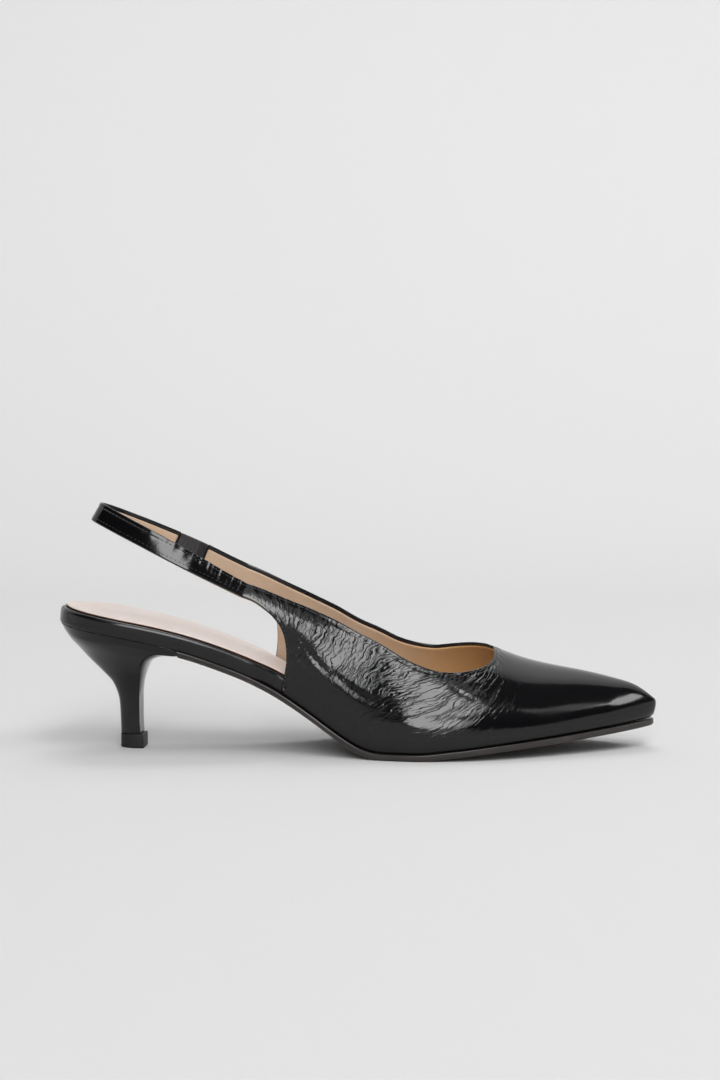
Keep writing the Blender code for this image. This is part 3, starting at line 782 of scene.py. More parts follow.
def leather_shell(name: str, sheet: Sheet, thickness: float, last: Last, rim_rows: int = 5) -> bpy.types.Object:
    """Closed shell of leather behind a sheet, with a rounded edge all round.

    Args:
        name: name of the piece.
        sheet: its outer face.
        thickness: of the leather.
        last: the form it lies on.
        rim_rows: faces across the rounded edge.

    Returns:
        The shell, with its faces turned outwards.
    """
    p, n = sheet.points, sheet.normals()
    depth = np.maximum(sheet.within(thickness, 0.7, last.toe - 14 * MM), 0.02 * MM)
    inner = p - n * depth[:, None]
    count = len(p)
    loop = sheet.boundary
    ahead = unit(np.roll(p[loop], -1, axis=0) - np.roll(p[loop], 1, axis=0))
    outwards = unit(np.cross(ahead, n[loop]))
    middle = (p[sheet.faces[:, 0]] + p[sheet.faces[:, 2]]) / 2
    nearest = middle[np.argmin(((middle - p[loop[0]]) ** 2).sum(1))]
    if np.dot(outwards[0], nearest - p[loop[0]]) > 0:
        outwards = -outwards
    centre = (p[loop] + inner[loop]) / 2
    arms = (p[loop] - inner[loop]) / 2
    reach = np.linalg.norm(arms, axis=1, keepdims=True)
    rims = []
    for k in range(1, rim_rows):
        angle = math.pi * k / rim_rows
        rims.append(centre + arms * math.cos(angle) + outwards * reach * math.sin(angle))
    points = np.concatenate((p, inner, *rims))
    tracks = [loop] + [2 * count + k * len(loop) + np.arange(len(loop)) for k in range(rim_rows - 1)]
    tracks.append(loop + count)
    faces = [sheet.faces, sheet.faces[:, ::-1] + count]
    for low, high in zip(tracks[:-1], tracks[1:]):
        faces.append(np.stack((low, high, np.roll(high, -1), np.roll(low, -1)), axis=1))
    part = np.concatenate((sheet.part, sheet.part, np.zeros(len(loop) * rim_rows, int)))
    turns = rim_rows - 1
    maps = (np.concatenate((a, a) + (a[:, loop],) * turns, axis=1) for a in (sheet.along, sheet.across))
    made = new_object(name, points, np.concatenate(faces).tolist())
    flow_map(made, *maps, part)
    turn_outwards(made)
    return made


def turn_outwards(thing: bpy.types.Object) -> None:
    """Flip every face of a closed mesh if they point inwards, which makes its volume negative."""
    build = bmesh.new()
    build.from_mesh(thing.data)
    if build.calc_volume(signed=True) < 0:
        thing.data.flip_normals()
    build.free()


# ---- creases


@dataclass(frozen=True)
class Crease:
    """A fold pressed into the leather by wear, along a line on one side of the upper.

    Its places are the share of the shoe's length and how far up the section they lie.
    """

    side: Side
    places: Table
    width: float
    depth: float
    ridge: float = 0.55

    def press(self, last: Last, points: np.ndarray) -> np.ndarray:
        """Return how far the crease moves each point outwards, in metres."""
        track = Path(list(self.places))
        line = np.array([track.at(u) for u in np.linspace(0, 1, 25)])
        corners = last.section(self.side, last.x(line[:, 0]), line[:, 1])
        low, high = corners.min(0) - 4 * self.width, corners.max(0) + 4 * self.width
        near = ((points > low) & (points < high)).all(1)
        moved = np.zeros(len(points))
        if near.any():
            far, place = distance_to(points[near], corners)
            r = far / self.width
            fade = np.sin(np.pi * np.clip(place, 0, 1)) ** 0.7
            moved[near] = self.depth * fade * (-np.exp(-(r**2)) + self.ridge * np.exp(-((r - 1.7) ** 2) * 1.6))
        return moved


OUTER, INNER = Side.OUTER, Side.INNER
CREASES = (
    # long soft folds of the flank, from the arch to the ball
    Crease(OUTER, ((0.450, 0.31), (0.500, 0.285), (0.555, 0.265), (0.610, 0.255)), 1.5 * MM, 0.16 * MM),
    Crease(OUTER, ((0.490, 0.37), (0.540, 0.345), (0.595, 0.32), (0.650, 0.31)), 1.2 * MM, 0.15 * MM),
    Crease(OUTER, ((0.525, 0.23), (0.580, 0.215), (0.640, 0.205), (0.700, 0.21)), 1.7 * MM, 0.15 * MM),
    Crease(OUTER, ((0.560, 0.40), (0.600, 0.375), (0.650, 0.355)), 1.0 * MM, 0.12 * MM),
    Crease(OUTER, ((0.610, 0.30), (0.645, 0.275), (0.690, 0.265)), 1.1 * MM, 0.11 * MM),
    # short pulls beside the throat and on the toe
    Crease(OUTER, ((0.655, 0.42), (0.675, 0.38), (0.700, 0.35)), 1.0 * MM, 0.12 * MM),
    Crease(OUTER, ((0.690, 0.43), (0.712, 0.39), (0.738, 0.37)), 1.0 * MM, 0.10 * MM),
    Crease(OUTER, ((0.780, 0.46), (0.815, 0.44), (0.855, 0.44)), 1.1 * MM, 0.08 * MM),
    Crease(OUTER, ((0.840, 0.50), (0.870, 0.48), (0.905, 0.48)), 1.0 * MM, 0.07 * MM),
    # quarter below the strap's root
    Crease(OUTER, ((0.405, 0.36), (0.430, 0.31), (0.460, 0.28)), 0.9 * MM, 0.16 * MM),
    Crease(OUTER, ((0.385, 0.22), (0.420, 0.18), (0.465, 0.16)), 1.1 * MM, 0.15 * MM),
    # inner side
    Crease(INNER, ((0.480, 0.33), (0.540, 0.29), (0.600, 0.275)), 1.4 * MM, 0.15 * MM),
    Crease(INNER, ((0.560, 0.24), (0.620, 0.215), (0.680, 0.215)), 1.5 * MM, 0.15 * MM),
    Crease(INNER, ((0.600, 0.42), (0.640, 0.39), (0.690, 0.37)), 1.0 * MM, 0.12 * MM),
    Crease(INNER, ((0.650, 0.50), (0.675, 0.45), (0.705, 0.41)), 1.0 * MM, 0.11 * MM),
    Crease(INNER, ((0.690, 0.36), (0.720, 0.33), (0.755, 0.33)), 1.1 * MM, 0.09 * MM),
)


# ---- finishes


class Nodes:
    """A node tree that is being wired up, with short ways to add its nodes."""

    def __init__(self, tree: bpy.types.NodeTree) -> None:
        """Keep the tree."""
        self.tree = tree

    def add(
        self, kind: str, feeds: dict[str | int, object] | None = None, **settings: object
    ) -> bpy.types.Node:
        """Return a new node of a kind, with its settings made and its inputs fed."""
        made = self.tree.nodes.new(kind)
        for name, value in settings.items():
            setattr(made, name, value)
        for name, value in (feeds or {}).items():
            self.feed(made.inputs[name], value)
        return made

    def feed(self, socket: bpy.types.NodeSocket, value: object) -> None:
        """Link a socket to its source, or set its value where that is no socket."""
        if isinstance(value, bpy.types.NodeSocket):
            self.tree.links.new(value, socket)
        else:
            socket.default_value = value

    def math(self, operation: str, a: object, b: object = 0.0) -> bpy.types.NodeSocket:
        """Return the result of a Math node on two values or sockets."""
        return self.add("ShaderNodeMath", {0: a, 1: b}, operation=operation).outputs[0]

    def plus(self, a: object, b: object) -> bpy.types.NodeSocket:
        """Return the sum of two values or sockets."""
        return self.math("ADD", a, b)

    def minus(self, a: object, b: object) -> bpy.types.NodeSocket:
        """Return the difference of two values or sockets."""
        return self.math("SUBTRACT", a, b)

    def times(self, a: object, b: object) -> bpy.types.NodeSocket:
        """Return the product of two values or sockets."""
        return self.math("MULTIPLY", a, b)

    def folded(self, value: object) -> bpy.types.NodeSocket:
        """Return how far a noise lies from its middle, 0 to 1."""
        return self.math("ABSOLUTE", self.minus(self.times(value, 2.0), 1.0))

    def noise(
        self, vector: object, scale: object, detail: float = 2.0, rough: float = 0.5
    ) -> bpy.types.NodeSocket:
        """Return the value of a Noise Texture."""
        feeds = {"Vector": vector, "Scale": scale, "Detail": detail, "Roughness": rough}
        return self.add("ShaderNodeTexNoise", feeds).outputs["Fac"]

    def stretch(self, vector: object, scale: Corner) -> bpy.types.NodeSocket:
        """Return a vector scaled along its axes by a Mapping node."""
        return self.add("ShaderNodeMapping", {"Vector": vector, "Scale": scale}).outputs["Vector"]

    def split(self, vector: object) -> tuple[bpy.types.NodeSocket, ...]:
        """Return the three parts of a vector."""
        return tuple(self.add("ShaderNodeSeparateXYZ", {0: vector}).outputs)

    def span(self, value: object, low: float, high: float, to_low: float = 0.0, to_high: float = 1.0) -> object:
        """Return a value mapped from one span to another, smoothly and without overshoot."""
        feeds = {"Value": value, "From Min": low, "From Max": high, "To Min": to_low, "To Max": to_high}
        made = self.add("ShaderNodeMapRange", feeds, interpolation_type="SMOOTHSTEP", clamp=True)
        return made.outputs["Result"]

    def blend(self, share: object, a: object, b: object) -> bpy.types.NodeSocket:
        """Return the mix of two colours."""
        return self.add("ShaderNodeMix", {0: share, 6: a, 7: b}, data_type="RGBA").outputs[2]

    def bump(self, height: object, distance: float, under: object = None) -> bpy.types.NodeSocket:
        """Return the normal of a Bump node, over another normal where one is given."""
        feeds = {"Height": height, "Distance": distance, "Strength": 1.0}
        return self.add("ShaderNodeBump", feeds | ({"Normal": under} if under else {})).outputs["Normal"]

    def effect(
        self, tree: bpy.types.NodeTree, vector: object, **sizes: float
    ) -> dict[str, bpy.types.NodeSocket]:
        """Return what a shared effect puts out for a vector, by name."""
        made = self.add("ShaderNodeGroup", {"Vector": vector, **sizes}, node_tree=tree)
        return {socket.name: socket for socket in made.outputs}


def group(name: str, sizes: dict[str, float], *outputs: str) -> tuple[Nodes, dict, bpy.types.Node]:
    """New shader node group that reads a vector and puts out heights or masks.

    Args:
        name: name of the group.
        sizes: the numbers it takes, with their defaults.
        outputs: names of the values that it puts out.

    Returns:
        The group's nodes, its inputs by name, and its Group Output.
    """
    tree = bpy.data.node_groups.new(name, "ShaderNodeTree")
    for label, default in sizes.items():
        tree.interface.new_socket(label, in_out="INPUT", socket_type="NodeSocketFloat").default_value = default
    tree.interface.new_socket("Vector", in_out="INPUT", socket_type="NodeSocketVector")
    for label in outputs:
        tree.interface.new_socket(label, in_out="OUTPUT", socket_type="NodeSocketFloat")
    n = Nodes(tree)
    given = {socket.name: socket for socket in n.add("NodeGroupInput").outputs}
    return n, given, n.add("NodeGroupOutput")


def crinkle_group() -> bpy.types.NodeTree:
    """Fine crushed wrinkles of patent leather, as a height that folds sharply in its valleys."""
    n, given, result = group("crushed wrinkles", {"Size": 3.0}, "Height")
    vector = given["Vector"]
    bend = n.add("ShaderNodeTexNoise", {"Vector": vector, "Scale": 260.0}).outputs["Color"]
    warp = n.add("ShaderNodeVectorMath", {0: bend, "Scale": 0.004}, operation="SCALE").outputs[0]
    moved = n.add("ShaderNodeVectorMath", {0: vector, 1: warp}, operation="ADD").outputs[0]
    scale = n.math("DIVIDE", 1000.0, given["Size"])
    feeds = {"Vector": moved, "Scale": scale, "Smoothness": 0.55}
    cells = n.add("ShaderNodeTexVoronoi", feeds, feature="SMOOTH_F1").outputs["Distance"]
    ridged = n.minus(1.0, n.folded(n.noise(moved, scale, 3.0, 0.55)))
    n.feed(result.inputs["Height"], n.plus(n.times(cells, -0.45), n.times(ridged, 0.75)))
    return n.tree


def pull_group() -> bpy.types.NodeTree:
    """Long wrinkles side by side, round on top and sharp in their valleys.

    The vector runs across the wrinkles in x and along them in y, in metres.
    """
    n, given, result = group("pulled wrinkles", {"Size": 3.0}, "Height")
    across, along, _ = n.split(given["Vector"])
    scale = n.math("DIVIDE", 1000.0, given["Size"])
    sway = n.times(n.minus(n.noise(given["Vector"], 170.0), 0.5), 3.2)
    place = {"X": n.plus(n.times(across, scale), sway), "Y": n.times(n.times(along, scale), 0.15)}
    streak = n.noise(n.add("ShaderNodeCombineXYZ", place).outputs[0], 1.0, 2.0, 0.55)
    n.feed(result.inputs["Height"], n.math("MINIMUM", n.times(n.folded(streak), 2.6), 1.0))
    return n.tree


def grain_group() -> bpy.types.NodeTree:
    """Pores and small hairlines of smooth leather, as a height and a mottling mask."""
    n, given, result = group("leather grain", {"Size": 0.6}, "Height", "Mottle")
    vector = given["Vector"]
    scale = n.math("DIVIDE", 1000.0, given["Size"])
    cells = n.add("ShaderNodeTexVoronoi", {"Vector": vector, "Scale": scale}, feature="F1").outputs["Distance"]
    fine = n.noise(vector, scale, 2.0, 0.6)
    n.feed(result.inputs["Height"], n.plus(n.times(cells, 0.6), n.times(fine, 0.5)))
    n.feed(result.inputs["Mottle"], n.span(n.noise(vector, 55.0, 4.0, 0.6), 0.35, 0.68))
    return n.tree


def wear_group() -> bpy.types.NodeTree:
    """Faint dust and rubbing: a mask of thin scratches and one of soft clouds."""
    n, given, result = group("light wear", {}, "Scratches", "Clouds")
    vector = given["Vector"]
    streaks = n.noise(n.stretch(vector, (40.0, 900.0, 700.0)), 1.0, 3.0, 0.6)
    n.feed(result.inputs["Scratches"], n.span(streaks, 0.66, 0.74))
    n.feed(result.inputs["Clouds"], n.span(n.noise(vector, 38.0, 4.0, 0.65), 0.42, 0.72))
    return n.tree


@dataclass(frozen=True)
class Groups:
    """The effects that more than one material uses."""

    crinkle: bpy.types.NodeTree
    pull: bpy.types.NodeTree
    grain: bpy.types.NodeTree
    wear: bpy.types.NodeTree


def start_material(name: str) -> tuple[bpy.types.Material, Nodes, bpy.types.NodeInputs]:
    """Return a new material, its nodes and the inputs of its Principled shader."""
    made = bpy.data.materials.new(name)
    made.use_nodes = True
    return made, Nodes(made.node_tree), made.node_tree.nodes["Principled BSDF"].inputs


@dataclass(frozen=True)
class Patent:
    """Black patent leather: a clear hard skin over black leather, crushed by wear or left smooth.

    The wrinkles' sizes are in millimetres. The spans are metres along the topline from the
    throat, or down from it: the lines stand upright at the strap's root, fade out on the vamp
    and on the strap, and are strongest near the topline.
    """

    name: str
    crushed: bool
    roughness: float = 0.10
    colour: Colour = (0.003, 0.003, 0.0035, 1.0)
    gloss: float = 1.43
    grain_size: float = 0.9
    grain_depth: float = 0.006 * MM
    crinkle_size: float = 2.4
    crinkle_depth: float = 0.03 * MM
    pull_size: float = 3.4
    root_size: float = 2.1
    root_share: float = 0.62
    pull_depth: float = 0.12 * MM
    root_span: tuple[float, float] = (0.062, 0.088)
    down_span: tuple[float, float] = (0.014, 0.034)
    vamp_span: tuple[float, float] = (0.002, 0.034)
    strap_span: tuple[float, float] = (0.112, 0.135)

    def make(self, groups: Groups) -> bpy.types.Material:
        """Return the material."""
        made, n, shader = start_material(self.name)
        place = n.add("ShaderNodeTexCoord")
        body = place.outputs["Object"]
        wear = n.effect(groups.wear, body)
        shader["Base Color"].default_value = self.colour
        rough = n.plus(self.roughness, n.times(wear["Clouds"], 0.06))
        n.feed(shader["Roughness"], n.plus(rough, n.times(wear["Scratches"], 0.10)))
        shader["IOR"].default_value = self.gloss
        normal = n.bump(n.effect(groups.grain, body, Size=self.grain_size)["Height"], self.grain_depth)
        if self.crushed:
            normal = self.wrinkled(n, groups, place.outputs["UV"], body, normal)
        n.feed(shader["Normal"], normal)
        return made

    def wrinkled(self, n: Nodes, groups: Groups, flow: object, body: object, normal: object) -> object:
        """Add the wrinkles of a worn upper.

        Args:
            n: the material's nodes.
            groups: the shared effects.
            flow: the leather's own map, along the topline and down from it.
            body: the object's own coordinates.
            normal: the normal so far.

        Returns:
            The wrinkled normal.
        """
        along, down, _ = n.split(flow)
        down = n.math("ABSOLUTE", down)
        lean = n.times(n.span(along, *self.root_span, 1.0, 0.08), down)
        lines = n.add("ShaderNodeCombineXYZ", {"X": n.minus(along, lean), "Y": down}).outputs[0]
        flank = n.effect(groups.pull, lines, Size=self.pull_size)["Height"]
        root = n.times(n.effect(groups.pull, lines, Size=self.root_size)["Height"], self.root_share)
        pulls = n.plus(flank, n.times(n.span(along, *self.root_span), n.minus(root, flank)))
        strength = n.times(n.span(down, *self.down_span, 1.0, 0.25), n.span(along, *self.vamp_span, 0.06, 1.0))
        strength = n.times(strength, n.span(along, *self.strap_span, 1.0, 0.12))
        normal = n.bump(n.times(pulls, strength), self.pull_depth, normal)
        small = n.effect(groups.crinkle, n.stretch(flow, (1.0, 0.6, 1.0)), Size=self.crinkle_size)["Height"]
        where = n.times(n.span(n.noise(body, 46.0, 3.0, 0.6), 0.34, 0.66, 0.2, 1.0), strength)
        return n.bump(n.times(small, where), self.crinkle_depth, normal)


@dataclass(frozen=True)
class Kid:
    """Thin matt lining leather with fine pores, mottled by wear, with painted shade: a darker, warmer colour
    further into the shoe.
    """

    name: str
    colour: Colour
    worn: Colour
    roughness: float = 0.46
    grain_size: float = 0.55
    grain_depth: float = 0.05 * MM
    ripple_scale: float = 150.0
    ripple_depth: float = 0.0
    # painted shade: the lining's darker, warmer colour deep inside the shoe, and the span of x in metres over
    # which it comes in
    deep: Colour | None = None
    painted_shade_span: tuple[float, float] = (0.09, 0.15)

    def make(self, groups: Groups) -> bpy.types.Material:
        """Return the material."""
        made, n, shader = start_material(self.name)
        place = n.add("ShaderNodeTexCoord").outputs["Object"]
        grain = n.effect(groups.grain, place, Size=self.grain_size)
        clouds = n.effect(groups.wear, place)["Clouds"]
        shade = n.plus(n.times(grain["Mottle"], 0.5), n.times(clouds, 0.35))
        tint = n.blend(shade, self.colour, self.worn)
        # painted shade: the lining turns darker and warmer further into the shoe, towards the toe
        if self.deep:
            tint = n.blend(n.span(n.split(place)[0], *self.painted_shade_span), tint, self.deep)
        n.feed(shader["Base Color"], tint)
        n.feed(shader["Roughness"], n.plus(self.roughness, n.times(clouds, 0.1)))
        shader["Specular IOR Level"].default_value = 0.4
        normal = n.bump(grain["Height"], self.grain_depth)
        if self.ripple_depth > 0:
            normal = n.bump(n.noise(place, self.ripple_scale), self.ripple_depth, normal)
        n.feed(shader["Normal"], normal)
        return made


@dataclass(frozen=True)
class Satin:
    """Plain satin finish with a little grain, for the sole, its painted edge, the rubber and thread."""

    name: str
    colour: Colour
    roughness: float
    grain_size: float = 0.7
    worn: Colour | None = None
    grain_depth: float = 0.03 * MM
    specular: float = 0.5

    def make(self, groups: Groups) -> bpy.types.Material:
        """Return the material."""
        made, n, shader = start_material(self.name)
        place = n.add("ShaderNodeTexCoord").outputs["Object"]
        grain = n.effect(groups.grain, place, Size=self.grain_size)
        wear = n.effect(groups.wear, place)
        worn = self.worn or tuple(min(1.0, c * 1.6) for c in self.colour[:3]) + (1.0,)
        n.feed(shader["Base Color"], n.blend(wear["Clouds"], self.colour, worn))
        rough = n.plus(self.roughness, n.times(wear["Scratches"], 0.12))
        n.feed(shader["Roughness"], n.plus(rough, n.times(grain["Mottle"], 0.05)))
        shader["Specular IOR Level"].default_value = self.specular
        n.feed(shader["Normal"], n.bump(grain["Height"], self.grain_depth))
        return made


class Finishes:
    """Every material of the shoe."""

    def __init__(self) -> None:
        """Build the shared groups, then the materials."""
        groups = Groups(crinkle_group(), pull_group(), grain_group(), wear_group())
        self.patent = Patent("crushed black patent", True).make(groups)
        self.smooth_patent = Patent("smooth black patent", False, 0.09).make(groups)
        self.band = Patent("black patent insole wrap", False, 0.22).make(groups)
        self.quarter_lining = Kid(
            "beige quarter lining",
            (0.50, 0.36, 0.255, 1.0),
            (0.43, 0.30, 0.20, 1.0),
            ripple_depth=0.25 * MM,
            # painted shade inside the toe, as a darker, warmer colour
            deep=(0.55, 0.30, 0.115, 1.0),
        ).make(groups)
        sock = Kid("pale sock leather", (0.57, 0.51, 0.485, 1.0), (0.56, 0.46, 0.41, 1.0), 0.5)
        self.sock = sock.make(groups)
        self.sock_edge = Satin("cut edge of the sock", (0.16, 0.075, 0.045, 1.0), 0.7).make(groups)
        self.sole_edge = Satin("painted sole edge", (0.018, 0.015, 0.014, 1.0), 0.30).make(groups)
        self.sole_welt = Satin("reddish cut of the sole", (0.14, 0.045, 0.03, 1.0), 0.5).make(groups)
        tread = Satin("dark sole leather", (0.028, 0.023, 0.020, 1.0), 0.55, worn=(0.10, 0.085, 0.07, 1.0))
        self.tread = tread.make(groups)
        rubber = Satin("matt heel piece", (0.008, 0.008, 0.008, 1.0), 0.5, 0.45, specular=0.3)
        self.rubber = rubber.make(groups)
        self.elastic = Satin("black elastic", (0.018, 0.017, 0.018, 1.0), 0.6, 0.5).make(groups)
        self.thread = Satin("black thread", (0.012, 0.012, 0.013, 1.0), 0.38, 0.3).make(groups)



# ---- upper


@dataclass
class Upper:
    """Vamp, quarters and strap: a patent leather shell, its lining and its stitches."""

    last: Last
    sling: Sling
    finishes: Finishes
    leather: float = 1.0 * MM
    lining: float = 0.75 * MM
    leather_net: Net = Net(vamp=64, side=150, edge=36, loop=110, rows=50)
    leather_trim: Trim = Trim(top=0.5 * MM, foot=0.15 * MM, rear=0.5 * MM, ends=0.4 * MM)
    lining_net: Net = Net(vamp=36, side=90, edge=20, loop=70, rows=26)
    lining_trim: Trim = Trim(top=2.0 * MM, foot=0.6 * MM, rear=0.6 * MM, ends=1.2 * MM)
    stitch_net: Net = Net(vamp=64, side=120, edge=30, loop=110, rows=24)
    seam_in: float = 1.7 * MM
    stitch_pitch: float = 1.9 * MM
    stitch_length: float = 1.25 * MM
    stitch_width: float = 0.32 * MM
    seam_draw: float = 0.13 * MM
    seam_spread: float = 0.5 * MM
    pucker: float = 0.085 * MM
    pucker_spread: float = 2.2 * MM
    pucker_free: float = 0.7 * MM
    pucker_waves: Table = ((1.9 * MM, 0.0, 0.5), (3.1 * MM, 1.3, 0.45), (5.3 * MM, 0.4, 0.5))
    tuck: float = 0.55 * MM
    tuck_height: float = 2.4 * MM
    glue: float = 0.03 * MM
    roll: float = 0.5 * MM
    twist: float = 0.30
    roll_width: float = 8.5 * MM
    roll_span: tuple[float, float, float, float] = (-4.0 * MM, 30.0 * MM, 70.0 * MM, 98.0 * MM)

    def sheet(self, net: Net, trim: Trim) -> Sheet:
        """Return the upper's outer face, cut as finely as asked, its top edge rolled in by the last."""
        sheet = leather_sheet(self.sling, net, trim)
        p = sheet.points
        x, down = p[:, 0], sheet.near(sheet.topline) + trim.top
        start, full, hold, end = self.roll_span
        where = ease((x - start) / (full - start)) * (1 - ease((x - hold) / (end - hold))) * (p[:, 1] < 0)
        roll = self.roll * np.clip(1 - down / self.roll_width, 0, 1) ** 2
        below = np.clip(down - self.roll_width, 0, None)
        roll += self.twist * (self.roll_width / 2 - down + below) * (1 - ease(below / (1.5 * self.roll_width)))
        sheet.points = p - sheet.normals() * (where * roll)[:, None]
        return sheet

    def shaped(self, sheet: Sheet) -> np.ndarray:
        """Points of the sheet with its creases, its stitched edge and its tucked foot.

        Args:
            sheet: the smooth outer face.

        Returns:
            The moved points.
        """
        p, n = sheet.points, sheet.normals()
        top, foot = sheet.near(sheet.topline), sheet.near(sheet.feather)
        out = sum(crease.press(self.last, p) for crease in CREASES)
        # the stitched line draws the leather down a little, and puckers it
        out -= self.seam_draw * np.exp(-(((top - self.seam_in) / self.seam_spread) ** 2))
        u = sheet.along[0] + 1.37 * sheet.along[1]
        ripple = sum(high * np.sin(u / pitch * 2 * np.pi + phase) for pitch, phase, high in self.pucker_waves)
        beside = np.exp(-(((top - self.seam_in) / self.pucker_spread) ** 2)) * ease(top / self.pucker_free)
        moved = p + n * (out + self.pucker * ripple * beside)[:, None]
        tuck = self.tuck * np.clip(1 - foot / self.tuck_height, 0, 1) ** 2
        return moved - n * (1, 1, 0) * tuck[:, None]

    def make_leather(self) -> bpy.types.Object:
        """Return the patent leather shell."""
        sheet = self.sheet(self.leather_net, self.leather_trim)
        sheet.points = self.shaped(sheet)
        made = leather_shell("upper_leather", sheet, self.leather, self.last)
        paint(made, "patent_leather", self.finishes.patent)
        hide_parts("upper")
        return made

    def make_lining(self) -> bpy.types.Object:
        """Return the lining, glued inside the leather a little below its edge."""
        sheet = self.sheet(self.lining_net, self.lining_trim)
        gap = sheet.within(self.leather + self.glue, 0.75, self.last.toe - 22 * MM)
        sheet.points = sheet.points - sheet.normals() * gap[:, None]
        made = leather_shell("upper_lining", sheet, self.lining, self.last, rim_rows=3)
        paint(made, "sock_lining", self.finishes.quarter_lining)
        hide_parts("upper")
        return made

    def stitch_line(self) -> list[np.ndarray]:
        """Return the lines along which the edge is stitched, lying on the leather."""
        trim = Trim(top=self.seam_in, foot=0.0, rear=self.seam_in, ends=self.seam_in)
        sheet = self.sheet(self.stitch_net, trim)
        p = sheet.points + sheet.normals() * 0.02 * MM
        loop = sheet.boundary
        keep = sheet.near(sheet.feather)[loop] > 1.2 * MM
        start = int(np.argmax(~keep))
        order = np.roll(np.arange(len(loop)), -start)
        lines, run = [], []
        for k in (*order, order[0]):
            if keep[k]:
                run.append(p[loop[k]])
                continue
            if len(run) > 3:
                lines.append(np.array(run))
            run = []
        return lines

    def make_stitches(self) -> bpy.types.Object:
        """Return the lockstitches along the topline and the strap's edges."""
        made = stitched(
            "edge_stitches",
            self.stitch_line(),
            Stitch(self.stitch_pitch, self.stitch_length, self.stitch_width, self.finishes.thread),
        )
        paint(made, "patent_leather")
        return made

    def build(self) -> list[bpy.types.Object]:
        """Return the pieces of the upper."""
        return [self.make_leather(), self.make_lining(), self.make_stitches()]


@dataclass(frozen=True)
class Stitch:
    """Size and thread of a row of stitches."""

    pitch: float
    length: float
    width: float
    thread: bpy.types.Material


def stitch_tree(stitch: Stitch) -> tuple[bpy.types.NodeTree, dict[str, str]]:
    """Geometry Nodes that set stitches along a line of edges.

    Args:
        stitch: its size and thread.

    Returns:
        The tree, and the identifier of each of its named inputs.
    """
    tree = bpy.data.node_groups.new("row of stitches", "GeometryNodeTree")
    n = Nodes(tree)
    tree.interface.new_socket("Line", in_out="INPUT", socket_type="NodeSocketGeometry")
    names = {}
    for name in ("Pitch", "Length", "Width"):
        names[name] = tree.interface.new_socket(name, in_out="INPUT", socket_type="NodeSocketFloat").identifier
    tree.interface.new_socket("Stitches", in_out="OUTPUT", socket_type="NodeSocketGeometry")
    given, result = n.add("NodeGroupInput").outputs, n.add("NodeGroupOutput")
    curve = n.add("GeometryNodeMeshToCurve", {"Mesh": given["Line"]}).outputs["Curve"]
    feeds = {"Curve": curve, "Length": given["Pitch"]}
    points = n.add("GeometryNodeCurveToPoints", feeds, mode="LENGTH").outputs
    bead = n.add("GeometryNodeMeshUVSphere", {"Segments": 8, "Rings": 6, "Radius": 0.5}).outputs["Mesh"]
    size = {"X": n.times(given["Width"], 0.7), "Y": given["Width"], "Z": given["Length"]}
    scale = n.add("ShaderNodeCombineXYZ", size).outputs["Vector"]
    bead = n.add("GeometryNodeTransform", {"Geometry": bead, "Scale": scale}).outputs["Geometry"]
    feeds = {"Points": points["Points"], "Instance": bead, "Rotation": points["Rotation"]}
    rows = n.add("GeometryNodeInstanceOnPoints", feeds).outputs["Instances"]
    solid = n.add("GeometryNodeRealizeInstances", {"Geometry": rows}).outputs["Geometry"]
    smooth = n.add("GeometryNodeSetShadeSmooth", {"Geometry": solid}).outputs["Geometry"]
    dress = n.add("GeometryNodeSetMaterial", {"Geometry": smooth, "Material": stitch.thread})
    n.feed(result.inputs["Stitches"], dress.outputs["Geometry"])
    return tree, names


def stitched(name: str, lines: list[np.ndarray], stitch: Stitch) -> bpy.types.Object:
    """Row of stitches along lines, as one plain mesh.

    Args:
        name: name of the piece.
        lines: the lines of points that the stitches follow.
        stitch: their size and thread.

    Returns:
        The stitches.
    """
    mesh = bpy.data.meshes.new(name + "_path")
    edges, base = [], 0
    for line in lines:
        edges += [(base + k, base + k + 1) for k in range(len(line) - 1)]
        base += len(line)
    mesh.from_pydata(np.concatenate(lines).tolist(), edges, [])
    guide = bpy.data.objects.new(name + "_path", mesh)
    bpy.context.scene.collection.objects.link(guide)
    modifier = guide.modifiers.new("stitches", "NODES")
    modifier.node_group, names = stitch_tree(stitch)
    for label, size in (("Pitch", stitch.pitch), ("Length", stitch.length), ("Width", stitch.width)):
        modifier[names[label]] = size
    bpy.context.view_layer.update()
    made_mesh = bpy.data.meshes.new_from_object(guide.evaluated_get(bpy.context.evaluated_depsgraph_get()))
    guide.modifiers.clear()
    bpy.data.objects.remove(guide)
    made = bpy.data.objects.new(name, made_mesh)
    bpy.context.scene.collection.objects.link(made)
    return made


# ---- sole, insole and sock


def stations(start: float, end: float, count: int, both_round: bool) -> np.ndarray:
    """Places between two ends, closer together where the outline rounds off.

    Args:
        start: the first, at a round end.
        end: the last.
        count: spans between them.
        both_round: whether the last end is round as well.

    Returns:
        The places.
    """
    u = np.linspace(0, 1, count + 1)
    if both_round:
        return mix(start, end, mix(u, (1 - np.cos(np.pi * u)) / 2, 0.85))
    return mix(start, end, mix(u, 1 - np.cos(np.pi / 2 * u), 0.75))


